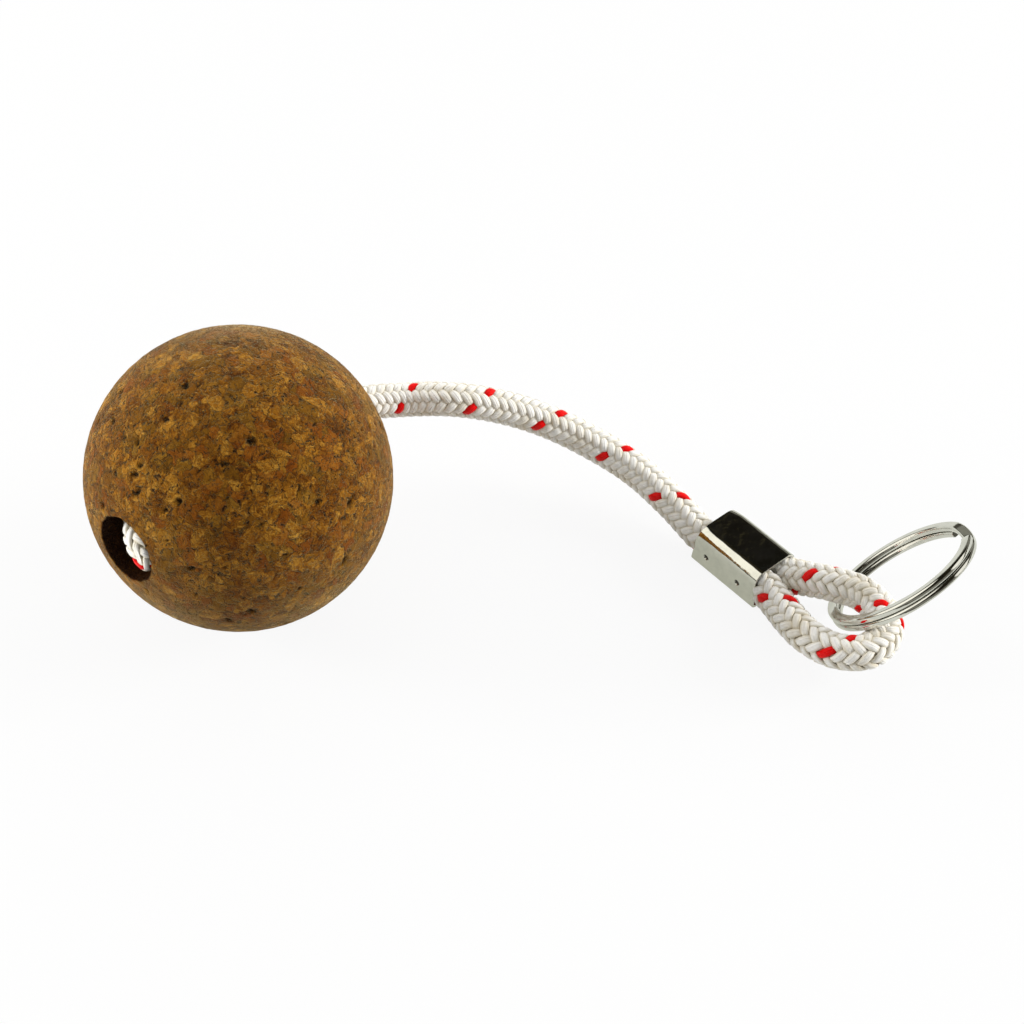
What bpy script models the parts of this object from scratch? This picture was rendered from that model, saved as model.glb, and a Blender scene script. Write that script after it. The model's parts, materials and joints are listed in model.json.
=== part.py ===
"""Cork key float: a turned cork ball on a knotted braided line, closed by a folded sleeve round a split ring.

The object lies on a table at z = 0. X runs along its length from the ball to the ring, Y points away from the
viewer and Z is up. The origin lies under the middle of the ball, the sleeve and the ring taken together. Inside
this file, places are counted from the point where the ball touches the table, which the root empty marks.
"""

import math

import bmesh
import bpy
from mathutils import Matrix, Vector

MM = 0.001

# Clearance left between pieces that touch.
GAP = 0.3 * MM

# Distance along X from the ball's contact point to the middle of the split ring. The places and the routes
# below are in hundredths of it.
REACH = 108.95 * MM
LAY = REACH / 100

# Where the ball touches the table.
BALL_CONTACT = Vector((-43.92, 0.0, 0.0)) * LAY

# Cork ball, turned on the axis of its bore.
BALL_RADIUS = 25.0 * MM
BORE_AXIS = Vector((0.642, 0.756, -0.131)).normalized()
BALL_TURNING_STEPS = 64
SPHERE_ARC_STEPS = 28
COUNTERBORE_RADIUS = 5.6 * MM
COUNTERBORE_FLOOR = 11.0 * MM
EXIT_RIM = 0.6 * MM
MOUTH_RIM = 0.3 * MM

# Braided line, one length from the knot to its cut end in the sleeve.
LINE_RADIUS = 3.0 * MM
SQUEEZED_RADIUS = 1.8 * MM
LINE_POINT_SPACING = 2.55 * MM
SQUEEZE_LENGTH = 4.5 * MM
CUT_END_INSET = 1.0 * MM
BORE_RADIUS = LINE_RADIUS + GAP

# Stopper knot, pulled down into the counterbore in two wraps.
KNOT_RADIUS = COUNTERBORE_RADIUS - GAP - 0.05 * MM
KNOT_WAIST_RADIUS = 4.5 * MM
KNOT_LENGTH = 11.1 * MM
KNOT_WRAP_STEPS = 6
KNOT_TURNING_STEPS = 32

# Folded sleeve that grips the line where it doubles back.
SLEEVE_CENTRE = Vector((77.25, 1.52, 0.0)) * LAY
SLEEVE_YAW = math.radians(-49.9)
SLEEVE_LENGTH = 14.5 * MM
SLEEVE_WIDTH = 9.5 * MM
SLEEVE_HEIGHT = 8.2 * MM
SHEET = 0.5 * MM
BEND_RADIUS = 1.05 * MM
FLARED_BEND_RADIUS = 2.1 * MM
FLARE_LENGTH = 3.6 * MM
MOUTH_SLANT = 1.1 * MM
SEAM_WIDTH = 0.3 * MM
BEND_STEPS = 6
SHEET_EDGE_ROUNDING = 0.09 * MM
DIMPLE_RADIUS = 0.55 * MM
DIMPLE_DEPTH = 0.32 * MM
DIMPLE_PLACES = (-4.3 * MM, 3.2 * MM)
DIMPLE_HEIGHT = 3.4 * MM
CHANNEL_OFFSET = SLEEVE_WIDTH / 2 - SHEET - GAP - SQUEEZED_RADIUS
CHANNEL_HEIGHT = SLEEVE_HEIGHT / 2

# Split ring of flat wire, wound twice round, with its step and its two ends on one side.
RING_CENTRE = Vector((100.0, -7.61, 9.5)) * LAY
RING_NORMAL = Vector((-0.562, 0.427, 0.708)).normalized()
RING_RADIUS = 13.5 * MM
WIRE_WIDTH = 1.8 * MM
WIRE_HEIGHT = 1.15 * MM
TURN_GAP = 0.1 * MM
WIRE_CORNER = 0.42 * MM
WIRE_CORNER_STEPS = 3
RING_STEP_AT = math.radians(231.0)
RING_STEP_HALF_ANGLE = math.radians(17.0)
RING_END_GAP_ANGLE = math.radians(2.0)
RING_STEPS_PER_TURN = 64
RING_HINGE = Vector((91.83, -14.32, 6.87)) * LAY

# Route of the line past the ball, and of the loop past the sleeve.
ARC_ROUTE = (
    (23.1, 22.1, 18.1),
    (31.2, 21.9, 18.4),
    (39.0, 22.8, 15.9),
    (46.4, 22.8, 12.7),
    (53.8, 20.9, 9.6),
    (60.7, 17.1, 7.3),
    (66.5, 11.7, 5.2),
)
LOOP_ROUTE = (
    (81.8, -8.4, 3.9),
    (83.4, -12.6, 4.8),
    (85.5, -16.5, 5.6),
    (89.0, -19.7, 6.4),
    (93.4, -20.3, 6.9),
    (96.5, -17.3, 6.8),
    (96.7, -12.9, 7.0),
    (94.1, -9.3, 7.3),
    (89.9, -7.0, 6.9),
    (86.3, -4.7, 5.5),
)


def clear_scene():
    for obj in list(bpy.data.objects):
        bpy.data.objects.remove(obj, do_unlink=True)


def make_material(name, colour, roughness, metallic):
    material = bpy.data.materials.new(name)
    material.use_nodes = True
    shader = material.node_tree.nodes["Principled BSDF"]
    shader.inputs["Base Color"].default_value = (*colour, 1.0)
    shader.inputs["Roughness"].default_value = roughness
    shader.inputs["Metallic"].default_value = metallic
    material.diffuse_color = (*colour, 1.0)
    return material


def make_object(name, mesh, collection, material):
    obj = bpy.data.objects.new(name, mesh)
    collection.objects.link(obj)
    mesh.materials.append(material)
    return obj


def place(obj, root, matrix):
    """Sets an object at a place counted from the ball's contact point."""
    obj.parent = root
    obj.matrix_local = matrix


def turned(name, profile, closed, steps, collection, material):
    """Turns a profile of (radius, height) points round local Z."""
    mesh = bpy.data.meshes.new(name)
    points = [(radius, 0.0, height) for radius, height in profile]
    edges = [(i, i + 1) for i in range(len(points) - 1)]
    if closed:
        edges.append((len(points) - 1, 0))
    mesh.from_pydata(points, edges, [])
    obj = make_object(name, mesh, collection, material)
    screw = obj.modifiers.new("Turning", "SCREW")
    screw.axis = "Z"
    screw.angle = math.tau
    screw.steps = steps
    screw.render_steps = steps
    screw.use_merge_vertices = True
    screw.merge_threshold = 0.00001
    screw.use_smooth_shade = True
    return obj


def arc(centre, radius, start, end, steps):
    """Points of an arc, as (x, y) pairs, with both its ends."""
    points = []
    for i in range(steps + 1):
        angle = start + (end - start) * i / steps
        points.append((centre[0] + radius * math.cos(angle), centre[1] + radius * math.sin(angle)))
    return points


def along_bore():
    """Rotation that brings local Z onto the bore's axis."""
    return BORE_AXIS.to_track_quat("Z", "Y").to_matrix().to_4x4()


def build_ball(collection, root):
    cork = make_material("cork", (0.33, 0.17, 0.065), 0.85, 0.0)
    exit_edge = BORE_RADIUS + EXIT_RIM
    mouth_edge = COUNTERBORE_RADIUS + MOUTH_RIM
    top = math.pi / 2 - math.asin(exit_edge / BALL_RADIUS)
    bottom = math.asin(mouth_edge / BALL_RADIUS) - math.pi / 2
    exit_height = BALL_RADIUS * math.sin(top)
    mouth_height = BALL_RADIUS * math.sin(bottom)
    profile = [(BORE_RADIUS, exit_height - EXIT_RIM)]
    profile.append((BORE_RADIUS + 0.25 * EXIT_RIM, exit_height - 0.2 * EXIT_RIM))
    profile += arc((0.0, 0.0), BALL_RADIUS, top, bottom, SPHERE_ARC_STEPS)
    profile.append((COUNTERBORE_RADIUS + 0.2 * MOUTH_RIM, mouth_height + 0.3 * MOUTH_RIM))
    profile.append((COUNTERBORE_RADIUS, mouth_height + MOUTH_RIM))
    profile.append((COUNTERBORE_RADIUS, -COUNTERBORE_FLOOR - 4 * GAP))
    profile.append((COUNTERBORE_RADIUS - GAP, -COUNTERBORE_FLOOR))
    profile.append((BORE_RADIUS, -COUNTERBORE_FLOOR))
    ball = turned("cork_ball", profile, True, BALL_TURNING_STEPS, collection, cork)
    place(ball, root, Matrix.Translation((0.0, 0.0, BALL_RADIUS)) @ along_bore())
    return ball


def build_knot(collection, root, material):
    """The knot as one lump: a flat inner end, two round wraps and a domed outer end."""
    inner = -COUNTERBORE_FLOOR - GAP
    outer = inner - KNOT_LENGTH
    wrap = KNOT_LENGTH * 0.21
    profile = [(0.0, inner), (KNOT_RADIUS * 0.8, inner)]
    for centre in (inner - KNOT_LENGTH * 0.27, inner - KNOT_LENGTH * 0.69):
        for i in range(KNOT_WRAP_STEPS + 1):
            swing = math.pi / 2 - math.pi * i / KNOT_WRAP_STEPS
            reach = KNOT_WAIST_RADIUS + (KNOT_RADIUS - KNOT_WAIST_RADIUS) * math.cos(swing)
            profile.append((reach, centre + wrap * math.sin(swing)))
    profile.append((KNOT_RADIUS * 0.66, outer + 0.06 * KNOT_LENGTH))
    profile.append((KNOT_RADIUS * 0.36, outer + 0.015 * KNOT_LENGTH))
    profile.append((0.0, outer))
    knot = turned("stopper_knot", profile, False, KNOT_TURNING_STEPS, collection, material)
    place(knot, root, Matrix.Translation((0.0, 0.0, BALL_RADIUS)) @ along_bore())
    return knot


def sleeve_point(along, across, height):
    """Point at a distance along the sleeve, a distance towards its far side and a height."""
    turn = Matrix.Rotation(SLEEVE_YAW, 4, "Z")
    return SLEEVE_CENTRE + turn @ Vector((along, across, height))


def line_route():
    """Hand-chosen points of the line, with the line's radius at each."""
    half = SLEEVE_LENGTH / 2
    ball_centre = Vector((0.0, 0.0, BALL_RADIUS))
    route = []
    for distance in (-COUNTERBORE_FLOOR, 0.0, 0.5 * BALL_RADIUS, 0.92 * BALL_RADIUS, 1.12 * BALL_RADIUS):
        route.append(ball_centre + BORE_AXIS * distance)
    route += [Vector(point) * LAY for point in ARC_ROUTE]
    for along in (-half, -0.4 * half, 0.4 * half, half - GAP):
        route.append(sleeve_point(along, -CHANNEL_OFFSET, CHANNEL_HEIGHT))
    route += [Vector(point) * LAY for point in LOOP_ROUTE]
    for along in (half - GAP, 0.4 * half, -0.4 * half, CUT_END_INSET - half):
        route.append(sleeve_point(along, CHANNEL_OFFSET, CHANNEL_HEIGHT))
    return route


def smooth_point(before, start, end, after, part):
    """Centripetal Catmull-Rom point a given part of the way from start to end."""
    knots = [0.0]
    for first, second in ((before, start), (start, end), (end, after)):
        knots.append(knots[-1] + math.sqrt((second - first).length))
    t0, t1, t2, t3 = knots
    t = t1 + (t2 - t1) * part
    a1 = before.lerp(start, (t - t0) / (t1 - t0))
    a2 = start.lerp(end, (t - t1) / (t2 - t1))
    a3 = end.lerp(after, (t - t2) / (t3 - t2))
    b1 = a1.lerp(a2, (t - t0) / (t2 - t0))
    b2 = a2.lerp(a3, (t - t1) / (t3 - t1))
    return b1.lerp(b2, (t - t1) / (t2 - t1))


def smooth_line(route, fine_steps):
    padded = [2 * route[0] - route[1]] + route + [2 * route[-1] - route[-2]]
    points = [route[0]]
    for i in range(1, len(padded) - 2):
        for step in range(1, fine_steps + 1):
            points.append(smooth_point(*padded[i - 1 : i + 3], step / fine_steps))
    return points


def evenly_spaced(points, spacing):
    lengths = [0.0]
    for first, second in zip(points, points[1:]):
        lengths.append(lengths[-1] + (second - first).length)
    count = round(lengths[-1] / spacing)
    spaced = []
    index = 0
    for i in range(count + 1):
        wanted = lengths[-1] * i / count
        while index < len(points) - 2 and lengths[index + 1] < wanted:
            index += 1
        part = (wanted - lengths[index]) / (lengths[index + 1] - lengths[index])
        spaced.append(points[index].lerp(points[index + 1], part))
    return spaced


def line_radius_at(point):
    """The line narrows where the sleeve squeezes it."""
    turn_back = Matrix.Rotation(-SLEEVE_YAW, 4, "Z")
    local = turn_back @ (point - SLEEVE_CENTRE)
    outside = abs(local.x) - SLEEVE_LENGTH / 2
    if abs(local.y) > 2 * SLEEVE_WIDTH:
        return LINE_RADIUS
    part = min(max(outside / SQUEEZE_LENGTH, 0.0), 1.0)
    return SQUEEZED_RADIUS + (LINE_RADIUS - SQUEEZED_RADIUS) * math.sin(part * math.pi / 2)


def build_line(collection, root, material):
    points = evenly_spaced(smooth_line(line_route(), 12), LINE_POINT_SPACING)
    curve = bpy.data.curves.new("line", "CURVE")
    curve.dimensions = "3D"
    curve.bevel_depth = LINE_RADIUS
    curve.bevel_resolution = 4
    curve.use_fill_caps = True
    spline = curve.splines.new("POLY")
    spline.points.add(len(points) - 1)
    for spline_point, point in zip(spline.points, points):
        spline_point.co = (*point, 1.0)
        spline_point.radius = line_radius_at(point) / LINE_RADIUS
    line = bpy.data.objects.new("line", curve)
    collection.objects.link(line)
    curve.materials.append(material)
    place(line, root, Matrix.Identity(4))
    return line


def sleeve_section(top_bend):
    """Outline of the folded sheet as (across, height) pairs: round the outside, then back round the inside."""
    half = SLEEVE_WIDTH / 2
    seam = SEAM_WIDTH / 2
    outline = []
    for inset, order in ((0.0, 1), (SHEET, -1)):
        bends = (
            (half, 0.0, BEND_RADIUS, -math.pi / 2),
            (half, SLEEVE_HEIGHT, top_bend, 0.0),
            (-half, SLEEVE_HEIGHT, top_bend, math.pi / 2),
            (-half, 0.0, BEND_RADIUS, math.pi),
        )
        side = [(seam, inset)]
        for across, height, bend, start in bends:
            centre = (across - math.copysign(bend, across), abs(height - bend))
            side += arc(centre, bend - inset, start, start + math.pi / 2, BEND_STEPS)
        side.append((-seam, inset))
        outline += side[::order]
    return outline


def build_sleeve(collection, root, cutters):
    nickel = make_material("nickel", (0.62, 0.60, 0.56), 0.15, 1.0)
    half = SLEEVE_LENGTH / 2
    stations = []
    for part in (0.0, 0.15, 0.35, 0.6, 1.0):
        stations.append((part * FLARE_LENGTH - half, (1.0 - part) ** 2))
    stations += [(0.0, 0.0), (half, 0.0)]
    graph = bmesh.new()
    rings = []
    for along, flare in stations:
        bend = BEND_RADIUS + (FLARED_BEND_RADIUS - BEND_RADIUS) * flare
        slant = MOUTH_SLANT * max(0.0, 1.0 - (along + half) / FLARE_LENGTH)
        ring = []
        for across, height in sleeve_section(bend):
            shift = slant * (height / SLEEVE_HEIGHT - 0.5)
            ring.append(graph.verts.new((along + shift, across, height)))
        rings.append(ring)
    count = len(rings[0])
    for first, second in zip(rings, rings[1:]):
        for i in range(count):
            j = (i + 1) % count
            graph.faces.new((first[i], first[j], second[j], second[i]))
    for ring, flipped in ((rings[0], False), (rings[-1], True)):
        for i in range(count // 2 - 1):
            quad = [ring[i], ring[count - 1 - i], ring[count - 2 - i], ring[i + 1]]
            graph.faces.new(quad[::-1] if flipped else quad)
    bmesh.ops.recalc_face_normals(graph, faces=graph.faces)
    mesh = bpy.data.meshes.new("sleeve")
    graph.to_mesh(mesh)
    graph.free()
    sleeve = make_object("sleeve", mesh, collection, nickel)
    place(sleeve, root, Matrix.Translation(SLEEVE_CENTRE) @ Matrix.Rotation(SLEEVE_YAW, 4, "Z"))
    rounding = sleeve.modifiers.new("Sheet edges", "BEVEL")
    rounding.width = SHEET_EDGE_ROUNDING
    rounding.segments = 2
    rounding.limit_method = "ANGLE"
    rounding.angle_limit = math.radians(60.0)
    for i, along in enumerate(DIMPLE_PLACES):
        for side in (-1, 1):
            across = side * (SLEEVE_WIDTH / 2 + DIMPLE_RADIUS - DIMPLE_DEPTH)
            punch = build_punch(f"punch_{i}_{side}", cutters)
            place(punch, root, Matrix.Translation(sleeve_point(along, across, DIMPLE_HEIGHT)))
            cut = sleeve.modifiers.new(f"Dimple {i} {side}", "BOOLEAN")
            cut.operation = "DIFFERENCE"
            cut.solver = "EXACT"
            cut.object = punch
    return sleeve


def build_punch(name, cutters):
    graph = bmesh.new()
    bmesh.ops.create_icosphere(graph, subdivisions=2, radius=DIMPLE_RADIUS)
    mesh = bpy.data.meshes.new(name)
    graph.to_mesh(mesh)
    graph.free()
    punch = bpy.data.objects.new(name, mesh)
    cutters.objects.link(punch)
    punch.hide_render = True
    punch.display_type = "WIRE"
    return punch


def wire_section():
    """Rounded oblong outline of the wire, as (radial, axial) pairs."""
    half_width = WIRE_WIDTH / 2 - WIRE_CORNER
    half_height = WIRE_HEIGHT / 2 - WIRE_CORNER
    outline = []
    for i, (x, y) in enumerate(((1, 1), (-1, 1), (-1, -1), (1, -1))):
        start = i * math.pi / 2
        centre = (x * half_width, y * half_height)
        outline += arc(centre, WIRE_CORNER, start, start + math.pi / 2, WIRE_CORNER_STEPS)
    return outline


def ring_layer(angle):
    """-1 in the lower turn and 1 in the upper turn, passing smoothly between them at the step."""
    part = (angle - math.tau + RING_STEP_HALF_ANGLE) / (2 * RING_STEP_HALF_ANGLE)
    part = min(max(part, 0.0), 1.0)
    return 2 * part * part * (3 - 2 * part) - 1


def build_ring(collection, root):
    steel = make_material("ring_steel", (0.66, 0.66, 0.65), 0.12, 1.0)
    start = RING_STEP_HALF_ANGLE + RING_END_GAP_ANGLE
    end = 2 * math.tau - start
    steps = round(RING_STEPS_PER_TURN * (end - start) / math.tau)
    mean_radius = RING_RADIUS - WIRE_WIDTH / 2
    layer_height = (WIRE_HEIGHT + TURN_GAP) / 2
    graph = bmesh.new()
    rings = []
    for i in range(steps + 1):
        angle = start + (end - start) * i / steps
        lift = layer_height * ring_layer(angle)
        turn = angle + RING_STEP_AT
        ring = []
        for radial, axial in wire_section():
            reach = mean_radius + radial
            ring.append(graph.verts.new((reach * math.cos(turn), reach * math.sin(turn), lift + axial)))
        rings.append(ring)
    count = len(rings[0])
    for first, second in zip(rings, rings[1:]):
        for i in range(count):
            j = (i + 1) % count
            graph.faces.new((first[i], first[j], second[j], second[i]))
    graph.faces.new(rings[0][::-1])
    graph.faces.new(rings[-1])
    bmesh.ops.recalc_face_normals(graph, faces=graph.faces)
    mesh = bpy.data.meshes.new("split_ring")
    graph.to_mesh(mesh)
    graph.free()
    ring = make_object("split_ring", mesh, collection, steel)
    hinge = bpy.data.objects.new("ring_swing_axis", None)
    collection.objects.link(hinge)
    place(hinge, root, Matrix.Translation(RING_HINGE))
    place(ring, hinge, Matrix.Translation(RING_CENTRE - RING_HINGE) @ tilted_to(RING_NORMAL))
    return ring


def tilted_to(normal):
    """Frame with Z along the normal and X pointing down the steepest way in the ring's plane."""
    down = (normal * normal.z - Vector((0.0, 0.0, 1.0))).normalized()
    side = normal.cross(down)
    return Matrix((down, side, normal)).transposed().to_4x4()


def main():
    clear_scene()
    model = bpy.data.collections.new("cork_key_float")
    cutters = bpy.data.collections.new("cutters")
    cutters.hide_render = True
    for collection in (model, cutters):
        bpy.context.scene.collection.children.link(collection)
    root = bpy.data.objects.new("ball_contact", None)
    model.objects.link(root)
    root.location = BALL_CONTACT
    braid = make_material("braid", (0.86, 0.82, 0.76), 0.5, 0.0)
    build_ball(model, root)
    build_knot(model, root, braid)
    build_line(model, root, braid)
    build_sleeve(model, root, cutters)
    build_ring(model, root)


main()
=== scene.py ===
"""Dresses the cork key float for its picture.

A pressed-cork ball is threaded on a braided line. The line ends in a stopper knot in the ball's counterbore,
runs through a folded metal sleeve, loops round a split ring and comes back into the sleeve. All sizes are in
metres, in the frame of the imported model.
"""

import json
import logging
import math
from dataclasses import dataclass, fields
from enum import Enum
from typing import Callable, Sequence, Union

import bmesh
import bpy
import numpy as np
from mathutils import Matrix, Vector, noise

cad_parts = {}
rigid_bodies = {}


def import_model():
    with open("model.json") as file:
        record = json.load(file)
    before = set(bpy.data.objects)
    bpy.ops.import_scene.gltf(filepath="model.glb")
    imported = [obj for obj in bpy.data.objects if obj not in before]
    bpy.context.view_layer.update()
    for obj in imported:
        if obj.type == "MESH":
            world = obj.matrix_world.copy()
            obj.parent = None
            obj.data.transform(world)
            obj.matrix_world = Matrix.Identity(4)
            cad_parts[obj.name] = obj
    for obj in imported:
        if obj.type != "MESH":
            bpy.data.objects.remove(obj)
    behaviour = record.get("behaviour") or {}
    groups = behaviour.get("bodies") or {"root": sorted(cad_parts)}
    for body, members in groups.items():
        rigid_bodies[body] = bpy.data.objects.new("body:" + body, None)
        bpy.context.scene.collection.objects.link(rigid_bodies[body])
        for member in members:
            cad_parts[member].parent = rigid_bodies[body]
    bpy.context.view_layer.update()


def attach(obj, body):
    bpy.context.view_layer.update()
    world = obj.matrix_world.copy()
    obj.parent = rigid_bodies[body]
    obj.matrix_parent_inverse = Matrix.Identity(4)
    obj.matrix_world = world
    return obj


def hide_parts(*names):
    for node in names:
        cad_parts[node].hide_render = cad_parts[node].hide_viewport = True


for startup_object in list(bpy.data.objects):
    bpy.data.objects.remove(startup_object, do_unlink=True)

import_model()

MM = 0.001
PER_MM = 1.0 / MM
CLEARANCE = 0.3 * MM

# Distance from the ball's contact point to the middle of the ring, and the unit of the routes below.
REACH = 108.95 * MM
LAY = REACH / 100
BALL_CONTACT = Vector((-43.92, 0.0, 0.0)) * LAY
BALL_RADIUS = 25.0 * MM
BALL_CENTRE = BALL_CONTACT + Vector((0.0, 0.0, BALL_RADIUS))
BORE_AXIS = Vector((0.642, 0.756, -0.131)).normalized()
COUNTERBORE_FLOOR = 11.0 * MM

# Length along the line in which a strand goes once round it.
PITCH = 13.25 * MM

SLEEVE_CENTRE = BALL_CONTACT + Vector((77.25, 1.52, 0.0)) * LAY
SLEEVE_YAW = math.radians(-49.9)
SLEEVE_LENGTH = 14.5 * MM
SLEEVE_WIDTH = 9.5 * MM
SLEEVE_HEIGHT = 8.2 * MM

LOG = logging.getLogger("key_float")

Colour = tuple[float, float, float]
Point = tuple[float, float, float]
Face = tuple[int, ...]
Operand = Union["Field", bpy.types.NodeSocket, float, tuple]


class Body(str, Enum):
    """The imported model's moving bodies."""

    FLOAT = "float"
    RING = "ring"


class Slot(str, Enum):
    """The record's material slots."""

    CORK = "cork"
    BRAID = "braid"
    NICKEL = "nickel"
    RING_STEEL = "ring_steel"


def rgba(colour: Colour) -> tuple[float, float, float, float]:
    """The colour with full opacity."""
    return (*colour, 1.0)


def grey(level: float) -> Colour:
    """A grey of one level."""
    return (level, level, level)


class Field:
    """What a node gives out, with the sums that can be made from it."""

    def __init__(self, sheet: "NodeSheet", socket: bpy.types.NodeSocket) -> None:
        """Keeps the sheet that further nodes go into, and the socket."""
        self.sheet = sheet
        self.socket = socket

    def __add__(self, other: Operand) -> "Field":
        """The sum of both."""
        return self.sheet.math("ADD", self, other)

    def __sub__(self, other: Operand) -> "Field":
        """This less the other."""
        return self.sheet.math("SUBTRACT", self, other)

    def __rsub__(self, other: Operand) -> "Field":
        """The other less this."""
        return self.sheet.math("SUBTRACT", other, self)

    def __mul__(self, other: Operand) -> "Field":
        """The product of both."""
        return self.sheet.math("MULTIPLY", self, other)

    def __truediv__(self, other: Operand) -> "Field":
        """This divided by the other."""
        return self.sheet.math("DIVIDE", self, other)

    def level(self, low: float, high: float, to_low: float = 0.0, to_high: float = 1.0) -> "Field":
        """Moves the number from one range to another, smoothly and without passing its ends.

        Args:
            low: Number that becomes to_low.
            high: Number that becomes to_high. It may be the smaller of the two.
            to_low: First end of the new range.
            to_high: Second end of the new range.

        Returns:
            The moved number.
        """
        inputs = {"Value": self, "From Min": low, "From Max": high, "To Min": to_low, "To Max": to_high}
        return self.sheet.field("ShaderNodeMapRange", inputs, "Result", interpolation_type="SMOOTHSTEP")


class VectorField(Field):
    """A vector that a node gives out."""

    def __add__(self, other: Operand) -> "VectorField":
        """The sum of both vectors."""
        return self.sheet.vector("ADD", self, other)

    def __sub__(self, other: Operand) -> "VectorField":
        """This vector less the other."""
        return self.sheet.vector("SUBTRACT", self, other)

    def __mul__(self, factor: Operand) -> "VectorField":
        """This vector times a number."""
        node = self.sheet.add("ShaderNodeVectorMath", {0: self, 3: factor}, operation="SCALE")
        return VectorField(self.sheet, node.outputs["Vector"])

    def dot(self, other: Operand) -> Field:
        """Dot product of both vectors."""
        return self.sheet.field("ShaderNodeVectorMath", {0: self, 1: other}, "Value", operation="DOT_PRODUCT")


class NodeSheet:
    """Adds and joins the nodes of one tree."""

    def __init__(self, tree: bpy.types.NodeTree) -> None:
        """Keeps the tree that the nodes go into."""
        self.tree = tree

    def add(self, kind: str, inputs: dict | None = None, **settings: object) -> bpy.types.Node:
        """Adds a node.

        Args:
            kind: Blender's name for the node type.
            inputs: Values or fields for its inputs, by name or number.
            settings: Properties set on the node before its inputs.

        Returns:
            The new node.
        """
        node = self.tree.nodes.new(kind)
        for name, value in settings.items():
            setattr(node, name, value)
        self.fill(node, inputs or {})
        return node

    def field(
        self, kind: str, inputs: dict | None = None, output: str | int = 0, **settings: object
    ) -> Field:
        """Adds a node for one of its outputs.

        Args:
            kind: Blender's name for the node type.
            inputs: Values or fields for its inputs, by name or number.
            output: Name or number of the output.
            settings: Properties set on the node before its inputs.

        Returns:
            That output.
        """
        return Field(self, self.add(kind, inputs, **settings).outputs[output])

    def parts(self, kind: str, whole: Operand) -> list[Field]:
        """All outputs of a new node that takes a vector or a colour apart."""
        return [Field(self, socket) for socket in self.add(kind, {0: whole}).outputs]

    def fill(self, node: bpy.types.Node, inputs: dict) -> None:
        """Feeds several inputs of a node, by name or number."""
        for key, value in inputs.items():
            self.feed(node.inputs[key], value)

    def feed(self, socket: bpy.types.NodeSocket, value: Operand) -> None:
        """Joins a field or a socket to an input, or sets the input's value.

        Args:
            socket: The input.
            value: What it gets.
        """
        value = value.socket if isinstance(value, Field) else value
        if isinstance(value, bpy.types.NodeSocket):
            self.tree.links.new(value, socket)
        else:
            socket.default_value = value

    def math(self, operation: str, first: Operand, second: Operand = 0.0, third: Operand = 0.0) -> Field:
        """Result of a Math node."""
        return self.field("ShaderNodeMath", {0: first, 1: second, 2: third}, operation=operation)

    def vector(self, operation: str, first: Operand, second: Operand = (0.0, 0.0, 0.0)) -> VectorField:
        """Vector result of a Vector Math node."""
        node = self.add("ShaderNodeVectorMath", {0: first, 1: second}, operation=operation)
        return VectorField(self, node.outputs["Vector"])

    def ramp(self, value: Operand, stops: Sequence[tuple[float, Colour]]) -> Field:
        """Colour of a ramp.

        Args:
            value: What is looked up in the ramp.
            stops: Places and colours, in order.

        Returns:
            The colour.
        """
        node = self.add("ShaderNodeValToRGB", {0: value})
        elements = node.color_ramp.elements
        while len(elements) < len(stops):
            elements.new(0.5)
        for element, (place, _) in zip(elements, stops):
            element.position = place
        for element, (_, colour) in zip(elements, stops):
            element.color = rgba(colour)
        return Field(self, node.outputs["Color"])

    def mix(self, part: Operand, first: Operand, second: Operand, blend: str = "MIX") -> Field:
        """Mixes two colours.

        Args:
            part: How much of the second one is taken.
            first: A field or a plain colour.
            second: A field or a plain colour.
            blend: Blender's name for the way of mixing.

        Returns:
            The mixed colour.
        """
        first, second = (rgba(colour) if isinstance(colour, tuple) else colour for colour in (first, second))
        inputs = {0: part, 6: first, 7: second}
        return self.field("ShaderNodeMix", inputs, 2, data_type="RGBA", blend_type=blend)

    def noise(self, place: Operand, scale: float, detail: float = 2.0, roughness: float = 0.5) -> Field:
        """Height of a noise at a number of features per unit of its coordinates."""
        inputs = {"Vector": place, "Scale": scale, "Detail": detail, "Roughness": roughness}
        return self.field("ShaderNodeTexNoise", inputs, "Fac")

    def stored(self, name: str, output: str = "Fac") -> Field:
        """A value that the mesh stores, read by a material."""
        return self.field("ShaderNodeAttribute", None, output, attribute_name=name)

    def bump(self, height: Operand, strength: float, distance: float) -> Field:
        """The normal over a relief."""
        inputs = {"Height": height, "Strength": strength, "Distance": distance}
        return self.field("ShaderNodeBump", inputs, "Normal")

    def object_mm(self) -> VectorField:
        """Object coordinates in millimetres."""
        place = self.field("ShaderNodeTexCoord", None, "Object")
        mapping = self.add("ShaderNodeMapping", {"Vector": place, "Scale": (PER_MM, PER_MM, PER_MM)})
        return VectorField(self, mapping.outputs["Vector"])


def new_material(name: str) -> tuple[bpy.types.Material, NodeSheet, bpy.types.Node]:
    """Makes a material with the standard shader.

    Args:
        name: Name of the material.

    Returns:
        The material, its node sheet and its shader.
    """
    material = bpy.data.materials.new(name)
    material.use_nodes = True
    return material, NodeSheet(material.node_tree), material.node_tree.nodes["Principled BSDF"]


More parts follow.
